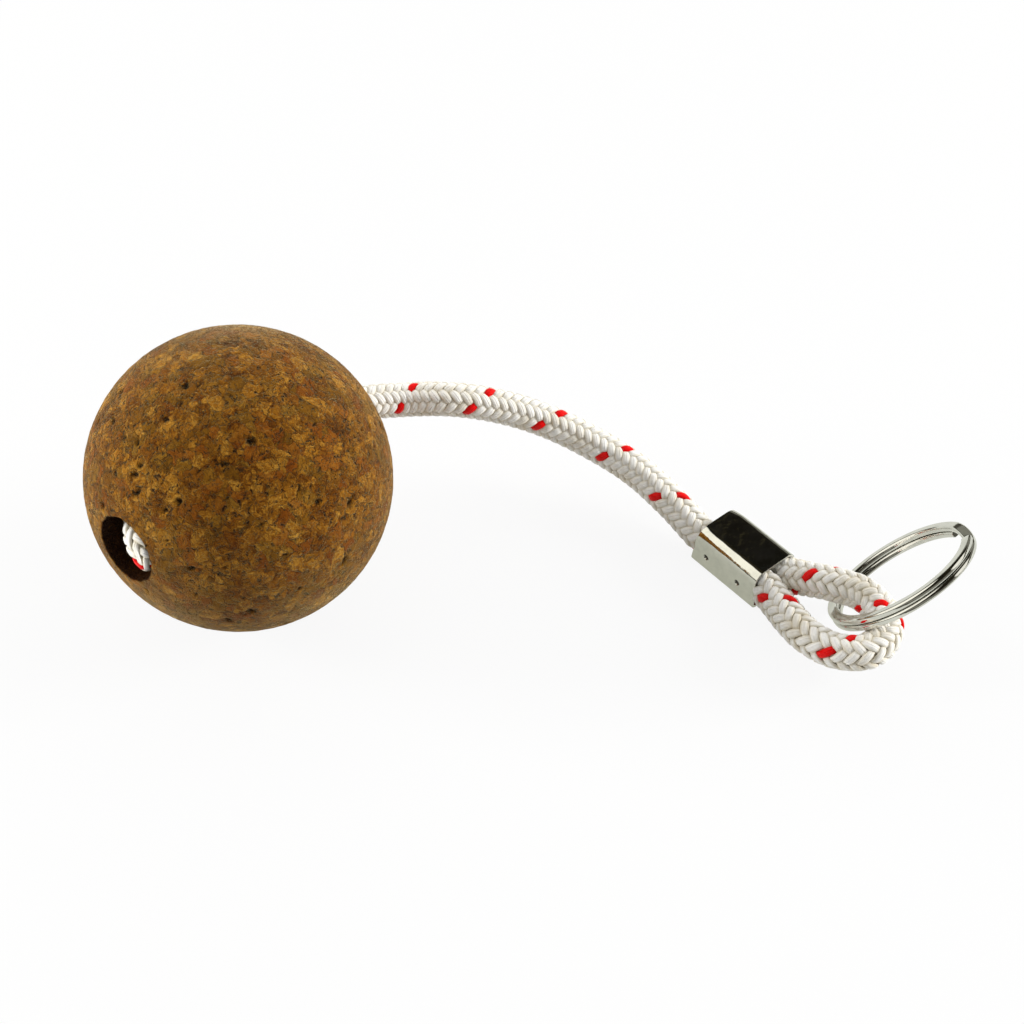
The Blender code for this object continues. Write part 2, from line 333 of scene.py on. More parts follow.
@dataclass(frozen=True)
class CorkFinish:
    """Pressed cork granules with broken dark seams, short crevices and open pits, and painted shade in the
    crevices, the pits and the bores.
    """

    granule: float = 2.0
    chip: float = 0.95
    dark: Colour = (0.032, 0.008, 0.001)
    ruddy: Colour = (0.195, 0.048, 0.003)
    middle: Colour = (0.136, 0.042, 0.002)
    olive: Colour = (0.140, 0.064, 0.004)
    tan: Colour = (0.278, 0.109, 0.007)
    pale: Colour = (0.500, 0.250, 0.036)
    # Painted shade in the crevices.
    crevice: Colour = (0.014, 0.004, 0.001)
    # Painted shade in the bore and the counterbore.
    dusk: Colour = (0.012, 0.0035, 0.001)
    # Painted shade in the pits.
    hollow: Colour = (0.010, 0.004, 0.002)
    sheen: float = 0.44
    sheen_tint: Colour = (1.0, 0.90, 0.50)
    relief: float = 0.15 * MM

    def material(self) -> bpy.types.Material:
        """Builds the cork material.

        Returns:
            The material, which reads the attributes "pit" and "bored" of the ball's mesh.
        """
        material, sheet, shader = new_material("pressed_cork")
        place = sheet.object_mm()
        bent = self.bend(sheet, place)
        tones = []
        edges = []
        for size in (self.granule, self.chip):
            inputs = {"Vector": bent, "Scale": 1 / size}
            cells = sheet.field("ShaderNodeTexVoronoi", inputs, "Color")
            tones.append(sheet.parts("ShaderNodeSeparateColor", cells))
            rims = sheet.field("ShaderNodeTexVoronoi", inputs, "Distance", feature="DISTANCE_TO_EDGE")
            edges.append(rims * size)
        grain = sheet.noise(bent, 3.4, 5.0, 0.7)
        cloud = sheet.noise(place, 0.13, 3.0, 0.55)
        patch = sheet.noise(bent, 0.8, 3.0, 0.6)
        shade = tones[0][0] * 0.26 + tones[1][0] * 0.20 + (cloud - 0.5) * 0.55 + (grain - 0.5) * 1.25
        stops = [(0.14, self.dark), (0.37, self.middle), (0.58, self.tan), (0.84, self.pale)]
        colour = sheet.ramp(shade + patch * 0.42 + 0.08, stops)
        colour = sheet.mix(tones[0][1].level(0.66, 0.92, 0.0, 0.62), colour, self.ruddy)
        colour = sheet.mix(tones[0][2].level(0.62, 0.92, 0.0, 0.60), colour, self.olive)
        seam = self.seams(sheet, place, edges)
        speck = self.specks(sheet, bent, edges[0])
        colour = sheet.mix(seam * 0.58, colour, self.dark)
        # Painted shade: the crevices, which the relief also sinks, are darkened near to black.
        colour = sheet.mix(speck * 0.92, colour, self.crevice)
        # Painted shade: the bore and the counterbore are darkened almost to black, a little less where the
        # grain is high.
        bored = sheet.stored("bored")
        colour = sheet.mix(bored * grain.level(0.46, 0.70, 1.0, 0.76), colour, self.dusk)
        height = grain * 0.8 - seam * 0.6 + tones[1][1] * 0.25 - speck * 1.2
        # Painted shade: the pits that the mesh sinks are coloured near-black by the stored pit value.
        looks = {
            "Base Color": sheet.mix(sheet.stored("pit"), colour, self.hollow),
            "Roughness": grain * 0.3 + 0.5,
            "Specular IOR Level": 0.08,
            "Sheen Weight": (1.0 - bored) * self.sheen,
            "Sheen Roughness": 0.25,
            "Sheen Tint": rgba(self.sheen_tint),
            "Normal": sheet.bump(height, 1.0, self.relief),
        }
        sheet.fill(shader, looks)
        return material

    def bend(self, sheet: NodeSheet, place: VectorField) -> VectorField:
        """Warps coordinates, first widely and then finely, so that no granule has straight sides.

        Args:
            sheet: The material's nodes.
            place: Coordinates in millimetres.

        Returns:
            The warped coordinates.
        """
        bent = place
        for scale, detail, roughness, reach in ((0.45, 2.0, 0.5, 3.2), (1.7, 3.0, 0.6, 0.9)):
            inputs = {"Vector": place, "Scale": scale, "Detail": detail, "Roughness": roughness}
            drift = sheet.field("ShaderNodeTexNoise", inputs, "Color")
            bent = bent + sheet.vector("SUBTRACT", drift, (0.5, 0.5, 0.5)) * reach
        return bent

    def seams(self, sheet: NodeSheet, place: VectorField, edges: Sequence[Field]) -> Field:
        """Dark lines between granules and, thinner, between chips, each broken by the same noise.

        Args:
            sheet: The material's nodes.
            place: Coordinates in millimetres.
            edges: Distances to the edge of the granule and of the chip.

        Returns:
            1 in a seam, and 0 away from it.
        """
        breaks = sheet.noise(place, 0.75, 2.0)
        wide = edges[0].level(0.02, 0.20, 1.0, 0.0) * breaks.level(0.44, 0.60)
        thin = edges[1].level(0.01, 0.10, 1.0, 0.0) * breaks.level(0.56, 0.44)
        return sheet.math("MAXIMUM", wide, thin * 0.7)

    def specks(self, sheet: NodeSheet, bent: VectorField, edge: Field) -> Field:
        """Short crevices beside the granules' edges, and tiny ones anywhere, which the finish darkens as
        painted shade.

        Args:
            sheet: The material's nodes.
            bent: Warped coordinates.
            edge: Distance to the edge of the granule.

        Returns:
            1 in a crevice, and 0 away from it.
        """
        wide = sheet.noise(bent, 1.5, 3.0, 0.62).level(0.425, 0.36) * edge.level(0.60, 0.28)
        tiny = sheet.noise(bent, 3.6, 2.0, 0.6).level(0.385, 0.31)
        return sheet.math("MAXIMUM", wide, tiny * 0.75)


@dataclass(frozen=True)
class BraidFinish:
    """Glossy yarn of the braid, off-white with one coloured strand, and painted shade between the strands."""

    yarn: Colour = (0.93, 0.915, 0.87)
    stain: Colour = (0.66, 0.57, 0.39)
    shadow: Colour = (0.74, 0.68, 0.53)
    tracer: Colour = (0.80, 0.002, 0.002)
    tracer_strand: int = 8
    relief: float = 0.09 * MM

    def material(self) -> bpy.types.Material:
        """Builds the yarn material.

        Returns:
            The material, which reads the braid's "yarn" and "weave" attributes.
        """
        material, sheet, shader = new_material("braided_yarn")
        along, across, strand = sheet.parts("ShaderNodeSeparateXYZ", sheet.stored("yarn", "Vector"))
        stretched = {0: along * (0.55 * PER_MM), 1: across * 4.5, 2: strand * 7.3}
        fibres = sheet.noise(sheet.field("ShaderNodeCombineXYZ", stretched), 1.0, 2.0, 0.55)
        blotch = sheet.noise(sheet.object_mm(), 0.22, 3.0, 0.6).level(0.46, 0.68)
        colour = sheet.mix(blotch * 0.42, self.yarn, self.stain)
        colour = sheet.mix(fibres.level(0.25, 0.65, 0.20, 0.0), colour, self.stain)
        red = sheet.math("COMPARE", strand, float(self.tracer_strand), 0.4)
        colour = sheet.mix(red, colour, self.tracer)
        off_middle = sheet.math("ABSOLUTE", across)
        # Painted shade: the yarn takes the shadow colour where a strand dives under its neighbours and
        # towards each strand's edges.
        low = sheet.stored("weave").level(-0.6, 0.85, 0.95, 0.0)
        rim = off_middle.level(0.35, 1.0, 0.0, 0.60)
        looks = {
            "Base Color": sheet.mix(sheet.math("MAXIMUM", low, rim), colour, self.shadow, "MULTIPLY"),
            "Roughness": fibres * 0.16 + 0.24,
            "Specular IOR Level": red * -0.42 + 0.60,
            "Sheen Weight": red * -0.06 + 0.06,
            "Sheen Roughness": 0.4,
            "Normal": sheet.bump(fibres + off_middle.level(0.0, 0.20, -0.8, 0.0), 0.8, self.relief),
        }
        sheet.fill(shader, looks)
        return material


class Polish(Enum):
    """How a metal piece is finished: base colour, lowest and highest roughness, and depth of its bumps."""

    NICKEL = ((0.72, 0.715, 0.66), 0.05, 0.12, 0.08 * MM)
    RING_STEEL = ((0.76, 0.755, 0.72), 0.04, 0.10, 0.05 * MM)


@dataclass(frozen=True)
class MetalFinish:
    """Plated metal with a slight unevenness, fine rub marks, a little handling haze and painted shade in the
    dimples.
    """

    name: str
    polish: Polish
    dirt: Colour = (0.03, 0.025, 0.02)

    def material(self) -> bpy.types.Material:
        """Builds the metal material.

        Returns:
            The material, which reads the attribute "punch" of the sleeve's mesh.
        """
        base, smooth, rough, depth = self.polish.value
        material, sheet, shader = new_material(self.name)
        place = sheet.object_mm()
        haze = sheet.noise(place, 0.35, 4.0, 0.6)
        tint = sheet.mix(haze.level(0.35, 0.75), base, tuple(0.86 * part for part in base))
        turned = {"Vector": place, "Rotation": (0.3, 0.2, 0.87), "Scale": (0.4, 9.0, 4.0)}
        lines = sheet.noise(sheet.field("ShaderNodeMapping", turned, "Vector"), 1.4, 2.0, 0.6)
        # Painted shade: the middle of each dimple is darkened almost to black.
        looks = {
            "Base Color": sheet.mix(sheet.stored("punch").level(0.08, 0.45, 0.0, 0.95), tint, self.dirt),
            "Metallic": 1.0,
            "Roughness": haze.level(0.3, 0.8, smooth, rough) + lines.level(0.60, 0.75, 0.0, 0.07),
            "Normal": sheet.bump(sheet.noise(place, 0.42, 2.0, 0.45), 1.0, depth),
        }
        sheet.fill(shader, looks)
        return material


@dataclass(frozen=True)
class Lamp:
    """A square soft lamp that faces the object and isn't seen in its reflections."""

    name: str
    place: Point
    size: float
    power: float

    def hang(self) -> None:
        """Adds the lamp to the scene."""
        data = bpy.data.lights.new(self.name, "AREA")
        data.size = self.size
        data.energy = self.power
        lamp = bpy.data.objects.new(self.name, data)
        lamp.location = self.place
        aim = Vector((0.0, 0.0, 0.015)) - Vector(self.place)
        lamp.rotation_euler = aim.to_track_quat("-Z", "Y").to_euler()
        lamp.visible_glossy = False
        bpy.context.scene.collection.objects.link(lamp)


@dataclass(frozen=True)
class Studio:
    """Camera, floor, lamps and the white surround."""

    eye: Point = (-0.003432, -0.215465, 0.248018)
    elevation: float = math.radians(47.0)
    lens: float = 66.797
    sensor: float = 36.0
    floor_size: float = 3.0
    floor_drop: float = 0.02 * MM
    paper: Colour = (0.72, 0.72, 0.71)
    paper_in_metal: Colour = (0.72, 0.74, 0.62)
    daylight: float = 1.22
    lamps: tuple[Lamp, ...] = (
        Lamp("left_lamp", (-0.92, 0.06, 0.30), 0.35, 10.0),
        Lamp("right_lamp", (0.88, 0.08, 0.32), 0.35, 8.6),
        Lamp("back_lamp", (-0.05, 0.90, 0.50), 0.40, 0.6),
    )
    # What metal reflects, from the horizon up to the roof.
    room: tuple[tuple[float, Colour], ...] = (
        (0.0, (0.30, 0.30, 0.26)),
        (0.03, (0.05, 0.048, 0.038)),
        (0.10, (0.07, 0.066, 0.054)),
        (0.16, (0.26, 0.26, 0.22)),
        (0.34, (0.20, 0.195, 0.165)),
        (0.46, (0.010, 0.009, 0.006)),
        (1.0, (0.004, 0.0035, 0.0025)),
    )
    murk: tuple[tuple[float, Colour], ...] = (
        (0.50, (0.0, 0.0, 0.0)),
        (0.66, (0.04, 0.034, 0.015)),
        (0.80, (0.10, 0.085, 0.045)),
    )
    left_box: Colour = (1.30, 1.27, 1.13)
    right_box: Colour = (1.10, 1.08, 0.98)

    def set_camera(self) -> None:
        """Puts the camera where the photograph was taken from."""
        data = bpy.data.cameras.new("studio_camera")
        data.lens = self.lens
        data.sensor_width = self.sensor
        data.clip_start = 0.01
        data.clip_end = 20.0
        camera = bpy.data.objects.new("studio_camera", data)
        camera.location = self.eye
        camera.rotation_euler = (math.pi / 2 - self.elevation, 0.0, 0.0)
        bpy.context.scene.collection.objects.link(camera)
        bpy.context.scene.camera = camera

    def lay_floor(self) -> None:
        """Lays a pale floor that keeps a faint shadow and looks white to the camera."""
        half = self.floor_size / 2
        corners = [(-half, -half, 0.0), (half, -half, 0.0), (half, half, 0.0), (-half, half, 0.0)]
        mesh = bpy.data.meshes.new("studio_floor")
        mesh.from_pydata(corners, [], [(0, 1, 2, 3)])
        material = bpy.data.materials.new("studio_floor")
        material.use_nodes = True
        material.node_tree.nodes.clear()
        sheet = NodeSheet(material.node_tree)
        paper = sheet.field("ShaderNodeBsdfDiffuse", {"Color": rgba(self.paper)})
        in_camera = sheet.field("ShaderNodeLightPath", None, "Is Camera Ray")
        in_metal = sheet.field("ShaderNodeLightPath", None, "Is Glossy Ray")
        tone = sheet.mix(in_metal, grey(1.0), self.paper_in_metal)
        glow = sheet.field("ShaderNodeEmission", {"Color": tone, "Strength": 1.0})
        part = sheet.math("MAXIMUM", in_camera * 0.90, in_metal * 0.55)
        seen = sheet.field("ShaderNodeMixShader", {0: part, 1: paper, 2: glow})
        sheet.add("ShaderNodeOutputMaterial", {"Surface": seen})
        mesh.materials.append(material)
        floor = bpy.data.objects.new("studio_floor", mesh)
        floor.location.z = -self.floor_drop
        bpy.context.scene.collection.objects.link(floor)

    def hang_surround(self) -> None:
        """Lights the scene from a pale tent, with a dim roof that polished metal reflects."""
        world = bpy.data.worlds.new("white_tent")
        bpy.context.scene.world = world
        world.use_nodes = True
        world.node_tree.nodes.clear()
        sheet = NodeSheet(world.node_tree)
        direction = VectorField(sheet, sheet.add("ShaderNodeTexCoord").outputs["Generated"])
        height = sheet.parts("ShaderNodeSeparateXYZ", direction)[2]
        walls = sheet.ramp(height, self.room)
        walls = sheet.mix(1.0, walls, sheet.ramp(sheet.noise(direction, 7.0, 3.0, 0.6), self.murk), "ADD")
        to_left, to_right, to_front = (
            direction.dot(tuple(Vector(way).normalized()))
            for way in ((-0.74, -0.15, 0.66), (0.86, 0.10, 0.42), (-0.10, -0.90, 0.42))
        )
        walls = sheet.mix(to_left.level(0.66, 0.76) * height.level(0.14, 0.22), walls, self.left_box)
        walls = sheet.mix(to_right.level(0.93, 0.96), walls, self.right_box)
        soft = sheet.ramp(to_front.level(-0.3, 0.72), [(0.0, grey(0.92)), (1.0, grey(0.26))])
        light, mirror, white = (
            sheet.field("ShaderNodeBackground", {"Color": colour, "Strength": strength})
            for colour, strength in ((soft, self.daylight), (walls, 1.0), (rgba(grey(1.0)), 1.0))
        )
        seen = light
        for ray, view in (("Is Glossy Ray", mirror), ("Is Camera Ray", white)):
            asked = sheet.field("ShaderNodeLightPath", None, ray)
            seen = sheet.field("ShaderNodeMixShader", {0: asked, 1: seen, 2: view})
        sheet.add("ShaderNodeOutputWorld", {"Surface": seen})

    def build(self) -> None:
        """Sets up the studio round the object."""
        bpy.context.scene.view_settings.view_transform = "Standard"
        self.set_camera()
        self.lay_floor()
        for lamp in self.lamps:
            lamp.hang()
        self.hang_surround()


def ease(part: np.ndarray | float) -> np.ndarray | float:
    """Turns an even rise from 0 to 1 into a smooth one."""
    return part * part * (3 - 2 * part)


def sleeve_turn(way: int = 1) -> np.ndarray:
    """Rotation from the sleeve's own directions to the frame's, or back with -1."""
    return np.array(Matrix.Rotation(way * SLEEVE_YAW, 3, "Z"))


def sleeve_point(along: float, across: float, height: float) -> Vector:
    """Point at a distance along the sleeve, a distance towards its far side and a height."""
    return SLEEVE_CENTRE + Matrix.Rotation(SLEEVE_YAW, 3, "Z") @ Vector((along, across, height))


def smooth_through(points: Sequence[Vector], steps: int) -> list[Vector]:
    """Centripetal Catmull-Rom curve.

    Args:
        points: The points that it passes through.
        steps: Steps between two neighbouring points.

    Returns:
        The points of the curve.
    """
    padded = [2 * points[0] - points[1], *points, 2 * points[-1] - points[-2]]
    curve = [points[0]]
    for i in range(1, len(padded) - 2):
        four = padded[i - 1 : i + 3]
        knots = [0.0]
        for first, second in zip(four, four[1:]):
            knots.append(knots[-1] + math.sqrt((second - first).length))
        for step in range(1, steps + 1):
            t = knots[1] + (knots[2] - knots[1]) * step / steps
            level = list(four)
            for reach in (1, 2):
                level = [
                    level[j].lerp(level[j + 1], (t - knots[j]) / (knots[j + reach] - knots[j]))
                    for j in range(4 - reach)
                ]
            curve.append(level[0].lerp(level[1], (t - knots[1]) / (knots[2] - knots[1])))
    return curve


def store(mesh: bpy.types.Mesh, **attributes: np.ndarray) -> None:
    """Stores a number or a vector for each point of a mesh.

    Args:
        mesh: The mesh.
        attributes: The values, under the names that they get.
    """
    for name, values in attributes.items():
        kind, member = ("FLOAT", "value") if values.ndim == 1 else ("FLOAT_VECTOR", "vector")
        mesh.attributes.new(name, kind, "POINT").data.foreach_set(member, values.ravel())


def band_faces(rings: int, count: int, closed: bool = False) -> list[Face]:
    """Faces between neighbouring rings of points.

    Args:
        rings: Number of rings.
        count: Points in a ring.
        closed: Whether the last ring is joined to the first.

    Returns:
        Four point numbers for each face.
    """
    faces = []
    for i in range(rings if closed else rings - 1):
        here, above = i * count, (i + 1) % rings * count
        for j in range(count):
            k = (j + 1) % count
            faces.append((here + j, here + k, above + k, above + j))
    return faces


def shaped_mesh(name: str, points: Sequence[Point], faces: Sequence[Face]) -> bpy.types.Mesh:
    """Makes a smoothly shaded mesh.

    Args:
        name: Its name.
        points: Its points.
        faces: Point numbers of each face.

    Returns:
        The mesh.
    """
    mesh = bpy.data.meshes.new(name)
    mesh.from_pydata(points, [], faces)
    mesh.polygons.foreach_set("use_smooth", np.ones(len(faces), dtype=bool))
    return mesh


def finished_object(mesh: bpy.types.Mesh, name: str, material: bpy.types.Material) -> bpy.types.Object:
    """Links a mesh as an object at the origin, with one material and outward faces.

    Args:
        mesh: The mesh, in place.
        name: Name of the piece.
        material: Its finish.

    Returns:
        The new object.
    """
    graph = bmesh.new()
    graph.from_mesh(mesh)
    bmesh.ops.recalc_face_normals(graph, faces=graph.faces)
    graph.to_mesh(mesh)
    graph.free()
    mesh.name = name
    mesh.materials.clear()
    mesh.materials.append(material)
    obj = bpy.data.objects.new(name, mesh)
    bpy.context.scene.collection.objects.link(obj)
    return obj


def round_edges(piece: bpy.types.Object, width: float) -> None:
    """Rounds the sharp edges of a piece with a live bevel.

    Args:
        piece: The piece.
        width: How far the rounding reaches from the edge.
    """
    rounding = piece.modifiers.new("rounded edges", "BEVEL")
    rounding.width = width
    rounding.segments = 3
    rounding.limit_method = "ANGLE"
    rounding.angle_limit = math.radians(60.0)
    rounding.harden_normals = True


def seat(piece: bpy.types.Object, body: Body, slot: Slot, *nodes: str) -> None:
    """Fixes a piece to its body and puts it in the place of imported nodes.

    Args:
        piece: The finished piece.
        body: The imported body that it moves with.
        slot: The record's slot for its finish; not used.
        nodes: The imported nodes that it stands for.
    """
    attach(piece, body.value)
    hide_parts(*nodes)
    count = sum(len(face.vertices) - 2 for face in piece.data.polygons)
    LOG.info("%s: %d triangles, rides on %s, stands for %s", piece.name, count, body.value, ", ".join(nodes))


@dataclass
class Stations:
    """Places along a route, each with its frame and with how far the braid is squeezed there."""

    points: np.ndarray
    arc: np.ndarray
    side: np.ndarray
    rise: np.ndarray
    turns: np.ndarray
    squeeze: np.ndarray
    swell: np.ndarray
    fullness: np.ndarray

    @classmethod
    def along(cls, curve: Sequence[Vector], spacing: Callable[[float], float]) -> "Stations":
        """Walks a curve and carries a frame along it without twist.

        Args:
            curve: Closely spaced points.
            spacing: Distance to the next station, from the distance walked.

        Returns:
            The stations, with no squeeze yet and with closed ends.
        """
        points = np.array([tuple(p) for p in curve])
        lengths = np.concatenate([[0.0], np.cumsum(np.linalg.norm(np.diff(points, axis=0), axis=1))])
        places = [0.0]
        while places[-1] < lengths[-1]:
            places.append(places[-1] + spacing(places[-1]))
        arc = np.array(places) * lengths[-1] / places[-1]
        spots = np.stack([np.interp(arc, lengths, points[:, i]) for i in range(3)], axis=1)
        tangents = np.gradient(spots, arc, axis=0)
        tangents /= np.linalg.norm(tangents, axis=1)[:, None]
        side = np.cross(tangents[0], (0.0, 0.0, 1.0))
        sides = []
        for tangent in tangents:
            side = side - tangent * np.dot(side, tangent)
            side = side / np.linalg.norm(side)
            sides.append(side)
        sides = np.array(sides)
        even = np.ones(len(arc))
        fullness = even.copy()
        fullness[[0, -1]] = 0.0
        return cls(spots, arc, sides, np.cross(tangents, sides), arc / PITCH, even, even.copy(), fullness)

    def mesh(self, name: str) -> bpy.types.Mesh:
        """Makes the stations into loose points of a mesh that carries their values.

        Args:
            name: Name of the mesh.

        Returns:
            The mesh.
        """
        mesh = bpy.data.meshes.new(name)
        mesh.from_pydata(self.points.tolist(), [], [])
        values = {field.name: getattr(self, field.name) for field in fields(self)}
        del values["points"]
        store(mesh, **values)
        return mesh


class BraidTree:
    """The node tree that lays strands and a core under them along stations."""

    INPUTS = {
        "NodeSocketGeometry": ("Stations",),
        "NodeSocketInt": ("Strands Each Way", "Section Points", "Core Points"),
        "NodeSocketFloat": (
            "Column Turn",
            "Middle Radius",
            "Weave Depth",
            "Strand Width",
            "Strand Thickness",
            "Core Radius",
        ),
        "NodeSocketVector": ("Squeeze Direction", "Swell Direction"),
        "NodeSocketMaterial": ("Yarn",),
    }
    MERGE_DISTANCE = 0.0004 * MM

    def __init__(self) -> None:
        """Builds the whole tree."""
        self.tree = bpy.data.node_groups.new("braid_strands", "GeometryNodeTree")
        self.sheet = NodeSheet(self.tree)
        self.identifiers: dict[str, str] = {}
        for kind, names in self.INPUTS.items():
            for name in names:
                socket = self.tree.interface.new_socket(name=name, in_out="INPUT", socket_type=kind)
                self.identifiers[name] = socket.identifier
        self.tree.interface.new_socket(name="Braid", in_out="OUTPUT", socket_type="NodeSocketGeometry")
        self.inputs = self.sheet.add("NodeGroupInput").outputs
        self.row = self.kept("row")
        self.side = VectorField(self.sheet, self.station("side", "FLOAT_VECTOR").socket)
        self.rise = VectorField(self.sheet, self.station("rise", "FLOAT_VECTOR").socket)
        self.full = self.station("fullness")
        self.finish([self.strands(), self.core()])

    def given(self, name: str) -> Field:
        """One of the tree's inputs."""
        return Field(self.sheet, self.inputs[name])

    def kept(self, label: str, kind: str = "FLOAT") -> Field:
        """A value stored on the points."""
        inputs = {"Name": label}
        return self.sheet.field("GeometryNodeInputNamedAttribute", inputs, "Attribute", data_type=kind)

    def sample(self, value: Operand, kind: str = "FLOAT") -> Field:
        """What a field of the stations says at the row of each point."""
        inputs = {"Geometry": self.given("Stations"), "Index": self.row, "Value": value}
        return self.sheet.field("GeometryNodeSampleIndex", inputs, "Value", data_type=kind, domain="POINT")

    def station(self, label: str, kind: str = "FLOAT") -> Field:
        """A stored value of the station at the row of each point."""
        return self.sample(self.kept(label, kind), kind)

    def keep(
        self, geometry: Operand, label: str, value: Operand, kind: str = "FLOAT", domain: str = "POINT"
    ) -> Field:
        """Stores a named value on a geometry.

        Args:
            geometry: What it is stored on.
            label: The value's name.
            value: The value.
            kind: Blender's name for its type.
            domain: Whether it belongs to points or instances.

        Returns:
            The geometry with its value.
        """
        inputs = {"Geometry": geometry, "Name": label, "Value": value}
        settings = {"data_type": kind, "domain": domain}
        return self.sheet.field("GeometryNodeStoreNamedAttribute", inputs, "Geometry", **settings)

    def strips(self, around: Field, copies: Operand) -> Field:
        """Lays out flat strips of points that know their row, their column and their strand.

        Args:
            around: Points across a strip.
            copies: How many strips there are.

        Returns:
            The strips, each with a row of points for each station.
        """
        sheet = self.sheet
        inputs = {"Geometry": self.given("Stations")}
        size = sheet.add("GeometryNodeAttributeDomainSize", inputs, component="MESH")
        inputs = {"Vertices X": size.outputs["Point Count"], "Vertices Y": around}
        grid = sheet.field("GeometryNodeMeshGrid", inputs, "Mesh")
        index = sheet.field("GeometryNodeInputIndex")
        row = sheet.math("FLOOR", (index + 0.25) / around)
        grid = self.keep(grid, "row", row)
        grid = self.keep(grid, "column", index - row * around)
        single = sheet.field("GeometryNodeGeometryToInstance", {0: grid})
        inputs = {"Geometry": single, "Amount": copies}
        many = sheet.add("GeometryNodeDuplicateElements", inputs, domain="INSTANCE").outputs
        named = self.keep(many["Geometry"], "strand", many["Duplicate Index"], domain="INSTANCE")
        return sheet.field("GeometryNodeRealizeInstances", {0: named})

    def wave(self, operation: str, angle: Operand) -> Field:
        """Sine or cosine of an angle."""
        return self.sheet.math(operation, angle)

    def section_angle(self, around: Field) -> Field:
        """Angle of each point round the section that its strip is rolled into."""
        return self.kept("column") * math.tau / (around - 1.0)

    def strands(self) -> Field:
        """Rolls the strips into strands that wind both ways round the stations and weave over and under.

        Returns:
            The strands' geometry.
        """
        sheet = self.sheet
        side, rise = self.side, self.rise
        each = self.given("Strands Each Way")
        around = self.given("Section Points") + 1.0
        strips = self.strips(around, each * 2.0)
        strand = self.kept("strand")
        turns = self.station("turns")
        other_way = sheet.math("GREATER_THAN", strand, each - 0.5)
        way = 1.0 - other_way * 2.0
        place = strand - other_way * each
        angle = turns * way * math.tau + place * math.tau / each + self.given("Column Turn")
        beat = turns * each * 2.0 + place * way * 2.0 + (other_way * 3.0 - 0.5)
        wave = self.wave("COSINE", beat * (math.pi / 2))
        weave = wave * 1.5 - wave * wave * wave * 0.5
        sine, cosine = self.wave("SINE", angle), self.wave("COSINE", angle)
        outward = side * cosine + rise * sine
        round_way = rise * cosine - side * sine
        radius = self.given("Middle Radius") + weave * self.given("Weave Depth")
        lean = radius * way * (math.tau / PITCH)
        forward = sheet.vector("CROSS_PRODUCT", side, rise)
        heading = sheet.vector("NORMALIZE", forward + round_way * lean)
        breadth = sheet.vector("CROSS_PRODUCT", outward, heading)
        turn = self.section_angle(around)
        across, flat = self.wave("COSINE", turn), self.wave("SINE", turn)
        flat = sheet.math("SIGN", flat) * sheet.math("POWER", sheet.math("ABSOLUTE", flat), 0.75)
        half_width = self.given("Strand Width") * 0.5 * (wave * 0.12 + 0.90) * self.full
        half_depth = self.given("Strand Thickness") * 0.5 * self.full
        offset = outward * (radius + half_depth * flat) + breadth * (half_width * across)
        return self.settle(strips, offset, {0: self.station("arc"), 1: across, 2: strand}, weave)

    def core(self) -> Field:
        """Rolls one strip into the core that closes the gaps between the strands.

        Returns:
            The core's geometry.
        """
        around = self.given("Core Points") + 1.0
        strips = self.strips(around, 1)
        turn = self.section_angle(around)
        sine, cosine = self.wave("SINE", turn), self.wave("COSINE", turn)
        offset = (self.side * cosine + self.rise * sine) * (self.given("Core Radius") * self.full)
        return self.settle(strips, offset, {0: self.station("arc"), 1: sine, 2: -1.0}, -1.0)

    def settle(self, strips: Field, offset: VectorField, yarn: dict[int, Operand], weave: Operand) -> Field:
        """Moves the strips' points to their places and stores what the finish reads.

        Args:
            strips: The flat strips.
            offset: Where each point lies from its station's middle, before the braid is pressed.
            yarn: Distance along the line, place across the strand, and the strand's number.
            weave: How far out the strand lies, from -1 to 1.

        Returns:
            The placed geometry.
        """
        sheet = self.sheet
        for label in ("Squeeze", "Swell"):
            direction = VectorField(sheet, self.inputs[label + " Direction"])
            offset = offset + direction * (offset.dot(direction) * (self.station(label.lower()) - 1.0))
        middle = self.sample(sheet.field("GeometryNodeInputPosition"), "FLOAT_VECTOR")
        inputs = {"Geometry": strips, "Position": sheet.vector("ADD", middle, offset)}
        placed = sheet.field("GeometryNodeSetPosition", inputs)
        placed = self.keep(placed, "yarn", sheet.field("ShaderNodeCombineXYZ", yarn), "FLOAT_VECTOR")
        return self.keep(placed, "weave", weave)

    def finish(self, parts: Sequence[Field]) -> None:
        """Joins the parts, closes their seams and ends, and dresses them.

        Args:
            parts: The strands and the core.
        """
        sheet = self.sheet
        joined = sheet.add("GeometryNodeJoinGeometry")
        for part in parts:
            sheet.feed(joined.inputs[0], part)
        inputs = {"Geometry": joined.outputs[0], "Distance": self.MERGE_DISTANCE}
        braid = sheet.field("GeometryNodeMergeByDistance", inputs)
        for label in ("row", "column", "strand"):
            braid = sheet.field("GeometryNodeRemoveAttribute", {"Geometry": braid, "Name": label})
        braid = sheet.field("GeometryNodeSetShadeSmooth", {"Geometry": braid})
        braid = sheet.field("GeometryNodeRealizeInstances", {0: braid})
        dressed = sheet.field("GeometryNodeSetMaterial", {"Geometry": braid, "Material": self.given("Yarn")})
        sheet.add("NodeGroupOutput", {0: dressed})


